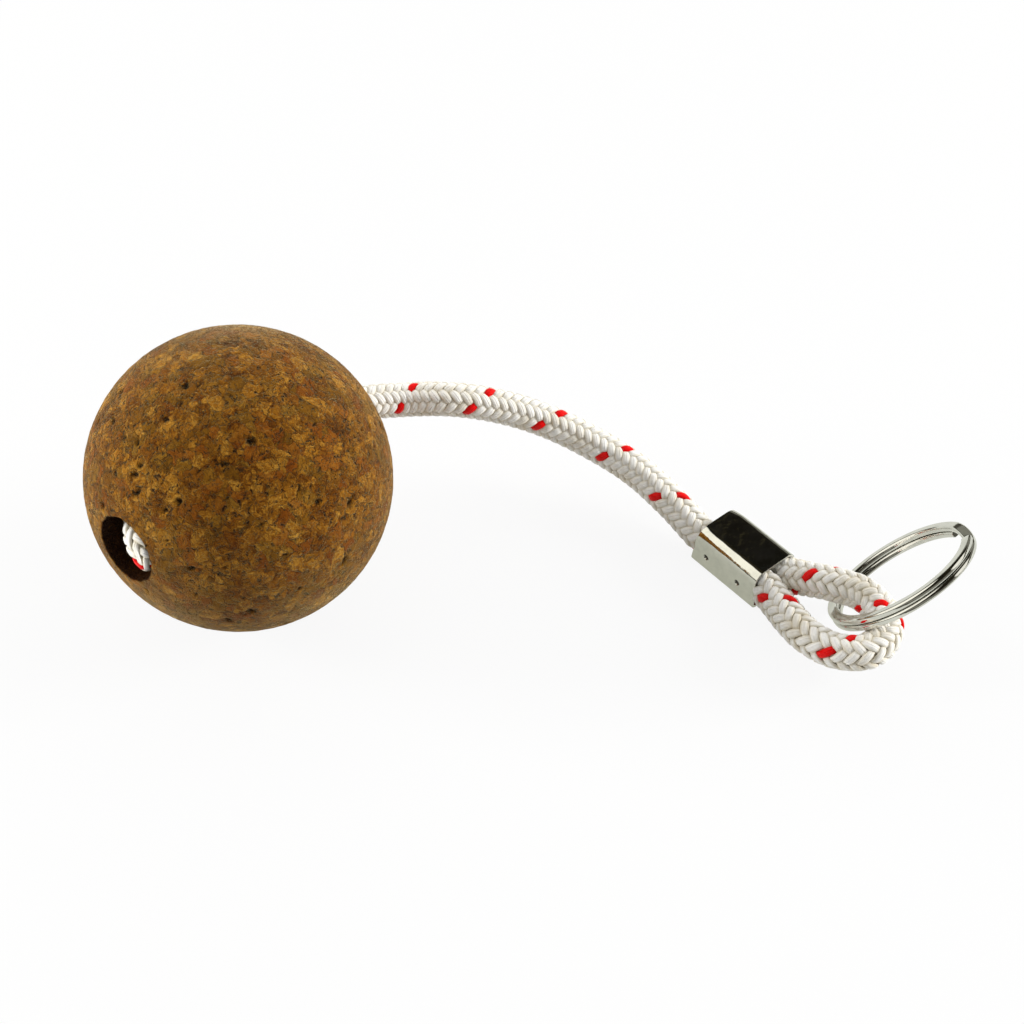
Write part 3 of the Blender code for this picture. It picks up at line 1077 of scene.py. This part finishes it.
@dataclass
class Braid:
    """Two-over, two-under braid of round-ended strands over a core, made by geometry nodes."""

    strands_each_way: int = 8
    column_turn: float = math.radians(302.0)
    middle_radius: float = 2.34 * MM
    weave_depth: float = 0.34 * MM
    strand_width: float = 1.50 * MM
    strand_thickness: float = 0.78 * MM
    section_points: int = 8
    core_radius: float = 2.12 * MM
    core_points: int = 20

    def __post_init__(self) -> None:
        """Builds the node tree once."""
        self.tree = BraidTree()

    def piece(
        self, name: str, stations: Stations, squeeze: Vector, swell: Vector, yarn: bpy.types.Material
    ) -> bpy.types.Object:
        """Makes a braid along stations.

        Args:
            name: Name of the piece.
            stations: Where the braid runs.
            squeeze: Direction in which the braid is pressed narrower.
            swell: Direction in which it then grows.
            yarn: The material of all strands.

        Returns:
            The finished mesh object.
        """
        carrier = bpy.data.objects.new(name + "_stations", stations.mesh(name + "_stations"))
        bpy.context.scene.collection.objects.link(carrier)
        modifier = carrier.modifiers.new("braid", "NODES")
        modifier.node_group = self.tree.tree
        values = {field.name.replace("_", " ").title(): getattr(self, field.name) for field in fields(self)}
        values |= {"Squeeze Direction": tuple(squeeze), "Swell Direction": tuple(swell), "Yarn": yarn}
        for label, value in values.items():
            modifier[self.tree.identifiers[label]] = value
        graph = bpy.context.evaluated_depsgraph_get()
        mesh = bpy.data.meshes.new_from_object(carrier.evaluated_get(graph), depsgraph=graph)
        bpy.data.objects.remove(carrier, do_unlink=True)
        return finished_object(mesh, name, yarn)


@dataclass
class BraidedLine:
    """The line from the stopper knot through the ball and the sleeve, round the ring and back."""

    diameter: float = 6.0 * MM
    squeezed_width: float = 0.66
    squeezed_height: float = 1.14
    channel_offset: float = 2.15 * MM
    channel_height: float = 4.1 * MM
    cut_end_inset: float = 1.0 * MM

    # Where the line widens again at each mouth: how far inside it starts, and over what length.
    near_mouth: tuple[float, float] = (1.2 * MM, 2.0 * MM)
    loop_mouth: tuple[float, float] = (0.8 * MM, 1.7 * MM)

    # The bulge at the loop's mouth: its share, its distance from the mouth and its reach.
    bulge: tuple[float, float, float] = (0.16, 0.6 * MM, 1.8 * MM)

    # Distance between stations, in the ball and in view.
    hidden_spacing: float = 0.55 * MM
    seen_spacing: float = 0.25 * MM

    arc_route: tuple[Point, ...] = (
        (23.1, 22.1, 18.1),
        (31.2, 21.9, 18.4),
        (39.0, 22.8, 15.9),
        (46.4, 22.8, 12.7),
        (53.8, 20.9, 9.6),
        (60.7, 17.1, 7.3),
        (66.5, 11.7, 5.2),
    )
    loop_route: tuple[Point, ...] = (
        (81.8, -8.4, 3.9),
        (83.4, -12.6, 4.8),
        (85.5, -16.5, 5.6),
        (89.0, -19.7, 6.4),
        (93.4, -20.3, 6.9),
        (96.5, -17.3, 6.8),
        (96.7, -12.9, 7.0),
        (94.1, -9.3, 7.3),
        (89.9, -7.0, 6.9),
        (86.3, -4.7, 5.5),
    )

    # Millimetres along the line, and how often the strands have gone round it there.
    tracer_marks: tuple[tuple[float, float], ...] = (
        (46.3, 0.0),
        (58.6, 1.0),
        (71.9, 2.0),
        (85.6, 3.0),
        (98.1, 4.0),
        (126.9, 6.0),
        (143.1, 7.0),
        (155.6, 8.0),
        (161.5, 8.5),
        (171.5, 9.25),
    )
    mark_phase: float = 0.15625
    eased_stations: int = 9
    kept_stations: int = 20

    # Millimetres along the line, and how many degrees all strands are turned there.
    column_lean: tuple[tuple[float, float], ...] = (
        (143.0, 0.0),
        (156.0, 26.0),
        (162.0, 30.0),
        (171.5, 17.0),
        (180.0, 0.0),
    )

    def route(self) -> list[Vector]:
        """Lists the points that the line's middle passes through.

        Returns:
            The points, from the knot to the cut end.
        """
        half = SLEEVE_LENGTH / 2
        depths = (-COUNTERBORE_FLOOR, 0.0, 0.5 * BALL_RADIUS, 0.92 * BALL_RADIUS, 1.12 * BALL_RADIUS)
        points = [BALL_CENTRE + BORE_AXIS * depth for depth in depths]
        points += [BALL_CONTACT + Vector(point) * LAY for point in self.arc_route]
        for along in (-half, -0.4 * half, 0.4 * half, half - CLEARANCE):
            points.append(sleeve_point(along, -self.channel_offset, self.channel_height))
        points += [BALL_CONTACT + Vector(point) * LAY for point in self.loop_route]
        for along in (half - CLEARANCE, 0.4 * half, -0.4 * half, self.cut_end_inset - half):
            points.append(sleeve_point(along, self.channel_offset, self.channel_height))
        return points

    def lay_turns(self, stations: Stations) -> None:
        """Sets how the strands wind, closer in some stretches than in others, as the tracer's marks show.

        Args:
            stations: The line's stations, which are changed.
        """
        arc = stations.arc
        places, turns = zip(*self.tracer_marks)
        first, last = places[0] * MM, places[-1] * MM
        turning = np.interp(arc, np.array(places) * MM, turns)
        turning = np.where(arc < first, turns[0] + (arc - first) / PITCH, turning)
        turning = np.where(arc > last, turns[-1] + (arc - last) / PITCH, turning)
        window = 2 * self.eased_stations + 1
        padded = np.pad(turning, self.eased_stations, mode="edge")
        eased = np.convolve(padded, np.ones(window) / window, mode="valid")
        ends = self.kept_stations
        eased[:ends], eased[-ends:] = turning[:ends], turning[-ends:]
        stations.turns = eased - self.mark_phase
        places, leans = zip(*self.column_lean)
        lean = np.radians(np.interp(arc, np.array(places) * MM, leans))[:, None]
        side, rise = stations.side, stations.rise
        stations.side = side * np.cos(lean) + rise * np.sin(lean)
        stations.rise = rise * np.cos(lean) - side * np.sin(lean)

    def press(self, stations: Stations) -> None:
        """Squeezes the stations that lie in the sleeve, and eases the squeeze outside its mouths.

        Args:
            stations: The line's stations, which are changed.
        """
        local = (stations.points - np.array(SLEEVE_CENTRE)) @ sleeve_turn(-1).T
        along = local[:, 0]
        half = SLEEVE_LENGTH / 2
        in_reach = np.abs(local[:, 1]) < SLEEVE_WIDTH
        near, loop = (
            np.clip((distance - half + inside) / length, 0, 1)
            for distance, (inside, length) in ((-along, self.near_mouth), (along, self.loop_mouth))
        )
        free = ease(np.where(in_reach, np.where(along < 0, near, loop), 1.0))
        share, place, reach = self.bulge
        plump = np.exp(-(((along - half - place) / reach) ** 2)) * in_reach * share
        stations.squeeze = self.squeezed_width + (1 - self.squeezed_width) * free
        stations.swell = self.squeezed_height + (1 - self.squeezed_height) * free + plump

    def build(self, braid: Braid, yarn: bpy.types.Material, knot: bpy.types.Object) -> bpy.types.Object:
        """Args:
            braid: How the strands are laid.
            yarn: Their material.
            knot: The stopper knot on the line's inner end; not used.

        Returns:
            The line's object.
        """
        hidden = COUNTERBORE_FLOOR + BALL_RADIUS - 2.5 * MM
        stations = Stations.along(
            smooth_through(self.route(), 24),
            lambda walked: self.hidden_spacing if walked < hidden else self.seen_spacing,
        )
        self.lay_turns(stations)
        self.press(stations)
        across = sleeve_point(0, 1, 0) - sleeve_point(0, 0, 0)
        line = braid.piece("braided_line", stations, across, Vector((0, 0, 1)), yarn)
        seat(line, Body.FLOAT, Slot.BRAID, "line")
        path = smooth_through(self.route(), 6)
        length = sum((b - a).length for a, b in zip(path, path[1:]))
        LOG.info("line length %.1f mm", length * PER_MM)
        tuple(self.route()[0])
        return line


@dataclass
class StopperKnot:
    """The knot that holds the ball, pulled into the counterbore under its upper rim."""

    width: float = 0.90
    first_turn: float = 0.20
    spacing: float = 0.30 * MM
    wall_reach: float = 5.38 * MM
    wall_softness: float = 1.25
    depths: tuple[float, float] = (11.2 * MM, 24.2 * MM)
    sight: Vector = Vector((0.0, 0.682, -0.731))

    # Millimetres from the ball's centre, along the mouth, towards its upper rim and out of it.
    route: tuple[Point, ...] = (
        (0.0, 0.0, 11.5),
        (0.6, -0.8, 13.0),
        (2.4, -2.0, 14.6),
        (3.0, 0.4, 15.6),
        (1.4, 2.5, 15.6),
        (-1.6, 2.4, 15.0),
        (-2.9, -0.3, 14.6),
        (-1.4, -2.5, 15.0),
        (2.2, -2.4, 16.6),
        (4.6, -0.9, 18.6),
        (4.5, 0.6, 21.0),
        (2.1, 1.2, 22.0),
        (-0.5, 0.8, 21.1),
        (-2.2, -0.6, 18.8),
        (-2.0, -1.8, 16.6),
    )

    def directions(self) -> tuple[Vector, Vector, Vector]:
        """Finds the directions that the knot's route is given in.

        Returns:
            Directions along the mouth, towards its upper rim, and out of the mouth.
        """
        outward = -BORE_AXIS
        upward = (outward * self.sight.dot(outward) - self.sight).normalized()
        return upward.cross(outward).normalized(), upward, outward

    def build(self, braid: Braid, yarn: bpy.types.Material) -> bpy.types.Object:
        """Makes the knot from the same braid.

        Args:
            braid: How the strands are laid.
            yarn: Their material.

        Returns:
            The knot's object.
        """
        along, upward, outward = self.directions()
        points = [BALL_CENTRE + (along * a + upward * b + outward * c) * MM for a, b, c in self.route]
        stations = Stations.along(smooth_through(points, 20), lambda walked: self.spacing)
        stations.turns = stations.arc / PITCH + self.first_turn
        stations.squeeze = np.full(len(stations.arc), self.width)
        knot = braid.piece("stopper_knot_braid", stations, outward, along, yarn)
        self.squash(knot.data, np.array(outward))
        seat(knot, Body.FLOAT, Slot.BRAID, "stopper_knot")
        return knot

    def squash(self, mesh: bpy.types.Mesh, axis: np.ndarray) -> None:
        """Keeps the knot's points inside the counterbore, as its walls press it.

        Args:
            mesh: The knot's mesh.
            axis: Direction out of the mouth.
        """
        points = np.empty(len(mesh.vertices) * 3)
        mesh.vertices.foreach_get("co", points)
        centre = np.array(BALL_CENTRE)
        relative = points.reshape(-1, 3) - centre
        depth = (relative @ axis)[:, None]
        radial = relative - depth * axis
        reach = np.linalg.norm(radial, axis=1)[:, None]
        soft = self.wall_reach * np.tanh(reach / self.wall_reach * self.wall_softness)
        factor = np.where(reach > 1e-6, np.minimum(soft, reach) / np.maximum(reach, 1e-9), 1.0)
        points = centre + np.clip(depth, *self.depths) * axis + radial * factor
        mesh.vertices.foreach_set("co", points.ravel())
        mesh.update()


@dataclass
class CorkBall:
    """The turned ball with its bore, its counterbore and the pits of pressed cork."""

    bore_radius: float = 3.3 * MM
    counterbore_radius: float = 5.6 * MM
    exit_rim: float = 0.6 * MM
    mouth_rim: float = 0.3 * MM
    turning_steps: int = 416
    arc_steps: int = 170
    wall_steps: int = 26
    floor_steps: int = 5
    seed: int = 7
    pit_count: int = 170

    # Pits that the photograph shows: direction from the centre, direction of the length, and size.
    marked_pits: tuple[tuple[Point, Point, float], ...] = (
        ((0.204, -0.496, 0.844), (0.45, 0.35, -0.8), 1.0),
        ((0.05, -0.63, 0.77), (0.9, 0.2, 0.1), 0.75),
        ((-0.50, -0.66, 0.56), (0.8, 0.3, 0.2), 0.85),
        ((-0.50, -0.42, 0.75), (0.3, 0.5, -0.2), 0.6),
        ((0.49, -0.64, 0.59), (0.3, 0.7, 0.2), 0.6),
        ((0.57, -0.28, 0.77), (0.6, 0.1, 0.3), 0.5),
        ((-0.13, -0.15, 0.98), (0.5, 0.5, 0.1), 0.5),
        ((0.26, -0.84, 0.47), (0.2, 0.9, 0.3), 0.6),
    )
    marked_size: float = 0.62 * MM
    marked_length: float = 1.8
    depth_limits: tuple[float, float] = (-0.08 * MM, 0.9 * MM)

    # The counterbore's wall is lumpy outside this radius, and its floor less so inside it.
    lumpy_radius: float = 4.5 * MM
    wall_lumps: float = 2.4
    floor_lumps: float = 0.8
    crumb_size: float = 0.30 * MM
    crumb_rows: int = 12

    def profile(self) -> tuple[np.ndarray, int, int]:
        """Outline of the half section.

        Returns:
            Points of (radius, height), and the first and last index of the ball's round face.
        """
        bore, wide, rim = self.bore_radius, self.counterbore_radius, self.exit_rim
        top = math.pi / 2 - math.asin((bore + rim) / BALL_RADIUS)
        bottom = math.asin((wide + self.mouth_rim) / BALL_RADIUS) - math.pi / 2
        exit_height, mouth_height = BALL_RADIUS * math.sin(top), BALL_RADIUS * math.sin(bottom)
        points = [
            (bore, 0.0),
            (bore, 0.5 * exit_height),
            (bore, exit_height - rim),
            (bore + 0.3 * rim, exit_height - 0.2 * rim),
        ]
        first = len(points)
        for i in range(self.arc_steps + 1):
            angle = top + (bottom - top) * i / self.arc_steps
            points.append((BALL_RADIUS * math.cos(angle), BALL_RADIUS * math.sin(angle)))
        last = len(points) - 1
        points.append((wide + 0.2 * self.mouth_rim, mouth_height + 0.3 * self.mouth_rim))
        wall_top = mouth_height + self.mouth_rim
        for i in range(self.wall_steps + 1):
            points.append((wide, wall_top - (COUNTERBORE_FLOOR + wall_top) * i / self.wall_steps))
        for i in range(1, self.floor_steps + 1):
            points.append((wide + (bore - wide) * i / self.floor_steps, -COUNTERBORE_FLOOR))
        return np.array(points), first, last

    def build(self, cork: bpy.types.Material) -> bpy.types.Object:
        """Turns the ball, sinks its pits and dresses it.

        Args:
            cork: The cork material.

        Returns:
            The ball's object.
        """
        outline, first, last = self.profile()
        rows, columns = len(outline), self.turning_steps
        angles = np.arange(columns) * math.tau / columns
        radius, height = outline[:, 0][:, None], outline[:, 1][:, None]
        circles = [radius * np.cos(angles), radius * np.sin(angles), height + 0 * angles]
        local = np.stack(circles, axis=2).reshape(-1, 3)
        turn = np.array(BORE_AXIS.to_track_quat("Z", "Y").to_matrix())
        relative = local @ turn.T
        points = relative + np.array(BALL_CENTRE)
        row = np.repeat(np.arange(rows), columns)
        outside = (row > first + 1) & (row < last - 1)
        wall = row > last
        pit, depth = self.pits(points, outside | wall)
        normal = relative / np.linalg.norm(relative, axis=1)[:, None]
        inward = local * (1.0, 1.0, 0.0)
        inward = -(inward / np.maximum(np.linalg.norm(inward, axis=1), 1e-9)[:, None] @ turn.T)
        lumpy = np.repeat(outline[:, 0] > self.lumpy_radius, columns)
        lumps = np.where(wall, np.where(lumpy, self.wall_lumps, self.floor_lumps), 0.0)
        points -= normal * np.where(outside, depth, 0.0)[:, None]
        points -= inward * (lumps * depth)[:, None]
        points += inward * (self.crumb_size * self.crumbs(points, row - last))[:, None]
        mesh = shaped_mesh("cork_ball_turned", points.tolist(), band_faces(rows, columns, closed=True))
        # The cork finish reads pit and bored to paint shade into the pits, the bore and the counterbore.
        store(mesh, pit=pit, bored=np.where(wall | (row < first), 1.0, 0.0))
        ball = finished_object(mesh, "cork_ball_turned", cork)
        seat(ball, Body.FLOAT, Slot.CORK, "cork_ball")
        return ball

    def crumbs(self, points: np.ndarray, rows_away: np.ndarray) -> np.ndarray:
        """How ragged the counterbore's mouth is.

        Args:
            points: Points of the ball.
            rows_away: Rows between each point and the mouth's edge.

        Returns:
            Height of the crumbs at each point, from about -1 to 1.
        """
        crumbs = np.zeros(len(points))
        for i in np.flatnonzero(np.abs(rows_away) < self.crumb_rows):
            spot = Vector(points[i]) * PER_MM
            rough = noise.noise(spot * 0.8) * 0.7 + noise.noise(spot * 2.1) * 0.5
            crumbs[i] = rough * math.exp(-((rows_away[i] / 5) ** 2))
        return crumbs

    def pits(self, points: np.ndarray, where: np.ndarray) -> tuple[np.ndarray, np.ndarray]:
        """Sinks irregular pits and a light granule relief.

        Args:
            points: Points of the ball.
            where: Which points may sink.

        Returns:
            How much painted shade each point gets as part of a pit, and how deep it sinks.
        """
        chance = np.random.default_rng(self.seed)
        centres = chance.normal(size=(self.pit_count, 3))
        lines = chance.normal(size=(self.pit_count, 3))
        sizes = (0.22 + 0.40 * chance.random(self.pit_count) ** 3) * MM
        lengths = 1.0 + 1.1 * chance.random(self.pit_count)
        marked_centres, marked_lines, marked_sizes = zip(*self.marked_pits)
        centres = np.vstack([centres, marked_centres])
        lines = np.vstack([lines, marked_lines])
        sizes = np.append(sizes, self.marked_size * np.array(marked_sizes))
        lengths = np.append(lengths, np.full(len(marked_sizes), self.marked_length))
        centres *= BALL_RADIUS / np.linalg.norm(centres, axis=1)[:, None]
        relief = np.zeros(len(points))
        ragged = np.zeros(len(points))
        for i in np.flatnonzero(where):
            spot = Vector(points[i]) * PER_MM
            relief[i] = noise.noise(spot * 0.9) * 0.05 + noise.noise(spot * 2.2) * 0.035
            ragged[i] = noise.noise(spot * 1.9 + Vector((9.0, 2.0, 5.0)))
        depth = relief * -MM
        pit = np.zeros(len(points))
        relative = points - np.array(BALL_CENTRE)
        for centre, line, size, length in zip(centres, lines, sizes, lengths):
            away = relative - centre
            out = centre / BALL_RADIUS
            line = line - out * np.dot(line, out)
            line /= np.linalg.norm(line)
            run = away @ line
            distance = np.sqrt(np.maximum((away * away).sum(axis=1) - run * run * (1 - 1 / length**2), 0.0))
            close = np.flatnonzero((distance < 2.4 * size) & where)
            level = 1.0 - distance[close] / size * (1.0 + 0.75 * ragged[close])
            level = ease(np.clip(level * 1.8, 0.0, 1.0))
            pit[close] = np.maximum(pit[close], level)
            depth[close] = np.maximum(depth[close], level * size * 0.9)
        return pit, np.clip(depth, *self.depth_limits)


@dataclass
class FoldedSleeve:
    """The sleeve of folded sheet that grips the line, with a flared mouth, a seam below and dimples."""

    sheet: float = 0.5 * MM
    bend_radius: float = 1.05 * MM
    top_bend_radius: float = 2.0 * MM
    flared_bend_radius: float = 2.7 * MM
    flare_length: float = 3.6 * MM
    mouth_slant: float = 1.1 * MM
    seam_width: float = 0.3 * MM
    edge_rounding: float = 0.12 * MM
    dimple_radius: float = 0.72 * MM
    dimple_depth: float = 0.40 * MM
    dimple_places: tuple[float, float] = (-4.3 * MM, 3.2 * MM)
    dimple_height: float = 3.4 * MM
    bend_steps: int = 14
    length_steps: int = 110

    # Steps on the flat runs between the bends, from the seam round to the seam.
    run_steps: tuple[int, ...] = (8, 44, 26, 44, 8)

    def section(self, top_bend: float) -> list[tuple[float, float]]:
        """Outline of the folded sheet.

        Args:
            top_bend: Radius of the two upper bends.

        Returns:
            Points of (across, height), round the outside and back round the inside.
        """
        half = SLEEVE_WIDTH / 2
        seam = self.seam_width / 2
        bends = (
            (half, 0.0, self.bend_radius, -math.pi / 2),
            (half, SLEEVE_HEIGHT, top_bend, 0.0),
            (-half, SLEEVE_HEIGHT, top_bend, math.pi / 2),
            (-half, 0.0, self.bend_radius, math.pi),
        )
        outline = []
        for inset, order in ((0.0, 1), (self.sheet, -1)):
            corners = []
            for across, height, bend, start in bends:
                middle, level = across - math.copysign(bend, across), abs(height - bend)
                reach = bend - inset
                turned = [start + math.pi / 2 * i / self.bend_steps for i in range(self.bend_steps + 1)]
                corners.append([(middle + reach * math.cos(a), level + reach * math.sin(a)) for a in turned])
            side = [(seam, inset)]
            for corner, steps in zip([*corners, [(-seam, inset)]], self.run_steps):
                start, target = side[-1], corner[0]
                for i in range(1, steps):
                    side.append(tuple(a + (b - a) * i / steps for a, b in zip(start, target)))
                side += corner
            outline += side[::order]
        return outline

    def build(self, nickel: bpy.types.Material) -> bpy.types.Object:
        """Folds the sheet, punches it and dresses it.

        Args:
            nickel: The plated finish.

        Returns:
            The sleeve's object.
        """
        half = SLEEVE_LENGTH / 2
        rings = []
        for i in range(self.length_steps + 1):
            along = -half + SLEEVE_LENGTH * i / self.length_steps
            flare = max(0.0, 1.0 - (along + half) / self.flare_length)
            bend = self.top_bend_radius + (self.flared_bend_radius - self.top_bend_radius) * flare**2
            slant = self.mouth_slant * flare
            section = self.section(bend)
            rings.append([(along + slant * (h / SLEEVE_HEIGHT - 0.5), across, h) for across, h in section])
        points = self.punch(np.array(rings))
        count = points.shape[1]
        placed = points.reshape(-1, 3) @ sleeve_turn().T + np.array(SLEEVE_CENTRE)
        faces = band_faces(len(rings), count)
        last = self.length_steps * count
        for j in range(count // 2 - 1):
            quad = (j, count - 1 - j, count - 2 - j, j + 1)
            faces += [quad, tuple(last + corner for corner in quad[::-1])]
        mesh = shaped_mesh("folded_sleeve", placed.tolist(), faces)
        # The punch value says where the finish paints shade into the dimples.
        store(mesh, punch=self.punch_marks(placed))
        sleeve = finished_object(mesh, "folded_sleeve", nickel)
        round_edges(sleeve, self.edge_rounding)
        seat(sleeve, Body.FLOAT, Slot.NICKEL, "sleeve")
        return sleeve

    def on_side(self, across: np.ndarray) -> np.ndarray:
        """Which points lie on one of the narrow sides."""
        return np.abs(across) > SLEEVE_WIDTH / 2 - 1.2 * self.sheet

    def punch(self, points: np.ndarray) -> np.ndarray:
        """Presses the dimples into both narrow sides.

        Args:
            points: Points of (along, across, height), ring by ring.

        Returns:
            The pressed points.
        """
        points = points.copy()
        for along in self.dimple_places:
            reach = np.hypot(points[..., 0] - along, points[..., 2] - self.dimple_height)
            level = ease(np.clip(1.5 - 1.5 * reach / self.dimple_radius, 0.0, 1.0))
            pressed = self.dimple_depth * level * self.on_side(points[..., 1])
            points[..., 1] -= np.sign(points[..., 1]) * pressed
        return points

    def punch_marks(self, placed: np.ndarray) -> np.ndarray:
        """How much dirt stays at each point, most in the middle of a dimple.

        Args:
            placed: Points of the sleeve, in place.

        Returns:
            A share from 0 to 1 for each point.
        """
        local = (placed - np.array(SLEEVE_CENTRE)) @ sleeve_turn(-1).T
        marks = np.zeros(len(local))
        for along in self.dimple_places:
            reach = np.hypot(local[:, 0] - along, local[:, 2] - self.dimple_height)
            marks = np.maximum(marks, (1.0 - reach / self.dimple_radius) * self.on_side(local[:, 1]))
        return marks


@dataclass
class SplitRing:
    """The ring of flat wire wound twice round, with the step between its turns."""

    centre: Vector = BALL_CONTACT + Vector((100.0, -7.61, 9.5)) * LAY
    normal: Vector = Vector((-0.562, 0.427, 0.708)).normalized()
    radius: float = 13.5 * MM
    wire_width: float = 1.8 * MM
    wire_height: float = 1.15 * MM
    turn_gap: float = 0.1 * MM
    wire_corner: float = 0.42 * MM
    end_rounding: float = 0.12 * MM
    corner_steps: int = 6
    step_at: float = math.radians(231.0)
    step_half_angle: float = math.radians(17.0)
    end_gap_angle: float = math.radians(2.0)
    steps_per_turn: int = 240

    def section(self) -> list[tuple[float, float]]:
        """Rounded oblong outline of the wire.

        Returns:
            Points of (radial, axial).
        """
        corner = self.wire_corner
        half_width, half_height = self.wire_width / 2 - corner, self.wire_height / 2 - corner
        outline = []
        for i, (x, y) in enumerate(((1, 1), (-1, 1), (-1, -1), (1, -1))):
            for step in range(self.corner_steps + 1):
                angle = (i + step / self.corner_steps) * math.pi / 2
                radial = x * half_width + corner * math.cos(angle)
                outline.append((radial, y * half_height + corner * math.sin(angle)))
        return outline

    def layer(self, angle: float) -> float:
        """-1 in the lower turn and 1 in the upper turn, passing smoothly between them."""
        part = (angle - math.tau + self.step_half_angle) / (2 * self.step_half_angle)
        return 2 * ease(min(max(part, 0.0), 1.0)) - 1

    def build(self, steel: bpy.types.Material) -> bpy.types.Object:
        """Winds the wire and dresses it.

        Args:
            steel: The plated finish.

        Returns:
            The ring's object.
        """
        start = self.step_half_angle + self.end_gap_angle
        end = 2 * math.tau - start
        steps = round(self.steps_per_turn * (end - start) / math.tau)
        mean = self.radius - self.wire_width / 2
        layer_height = (self.wire_height + self.turn_gap) / 2
        down = (self.normal * self.normal.z - Vector((0.0, 0.0, 1.0))).normalized()
        tilt = Matrix((down, self.normal.cross(down), self.normal)).transposed()
        outline = self.section()
        points = []
        for i in range(steps + 1):
            angle = start + (end - start) * i / steps
            lift = layer_height * self.layer(angle)
            turn = angle + self.step_at
            for radial, axial in outline:
                reach = mean + radial
                local = Vector((reach * math.cos(turn), reach * math.sin(turn), lift + axial))
                points.append(tuple(self.centre + tilt @ local))
        count = len(outline)
        faces = band_faces(steps + 1, count)
        faces += [tuple(range(count))[::-1], tuple(steps * count + j for j in range(count))]
        ring = finished_object(shaped_mesh("wound_ring", points, faces), "wound_ring", steel)
        round_edges(ring, self.end_rounding)
        seat(ring, Body.RING, Slot.RING_STEEL, "split_ring")
        return ring


def main() -> None:
    """Builds the studio and each piece in order."""
    logging.basicConfig(level=logging.INFO, format="%(name)s: %(message)s")
    Studio().build()
    yarn = BraidFinish().material()
    braid = Braid()
    knot = StopperKnot().build(braid, yarn)
    BraidedLine().build(braid, yarn, knot)
    CorkBall().build(CorkFinish().material())
    FoldedSleeve().build(MetalFinish("plated_nickel", Polish.NICKEL).material())
    SplitRing().build(MetalFinish("plated_ring_steel", Polish.RING_STEEL).material())


if __name__ == "__main__":
    main()
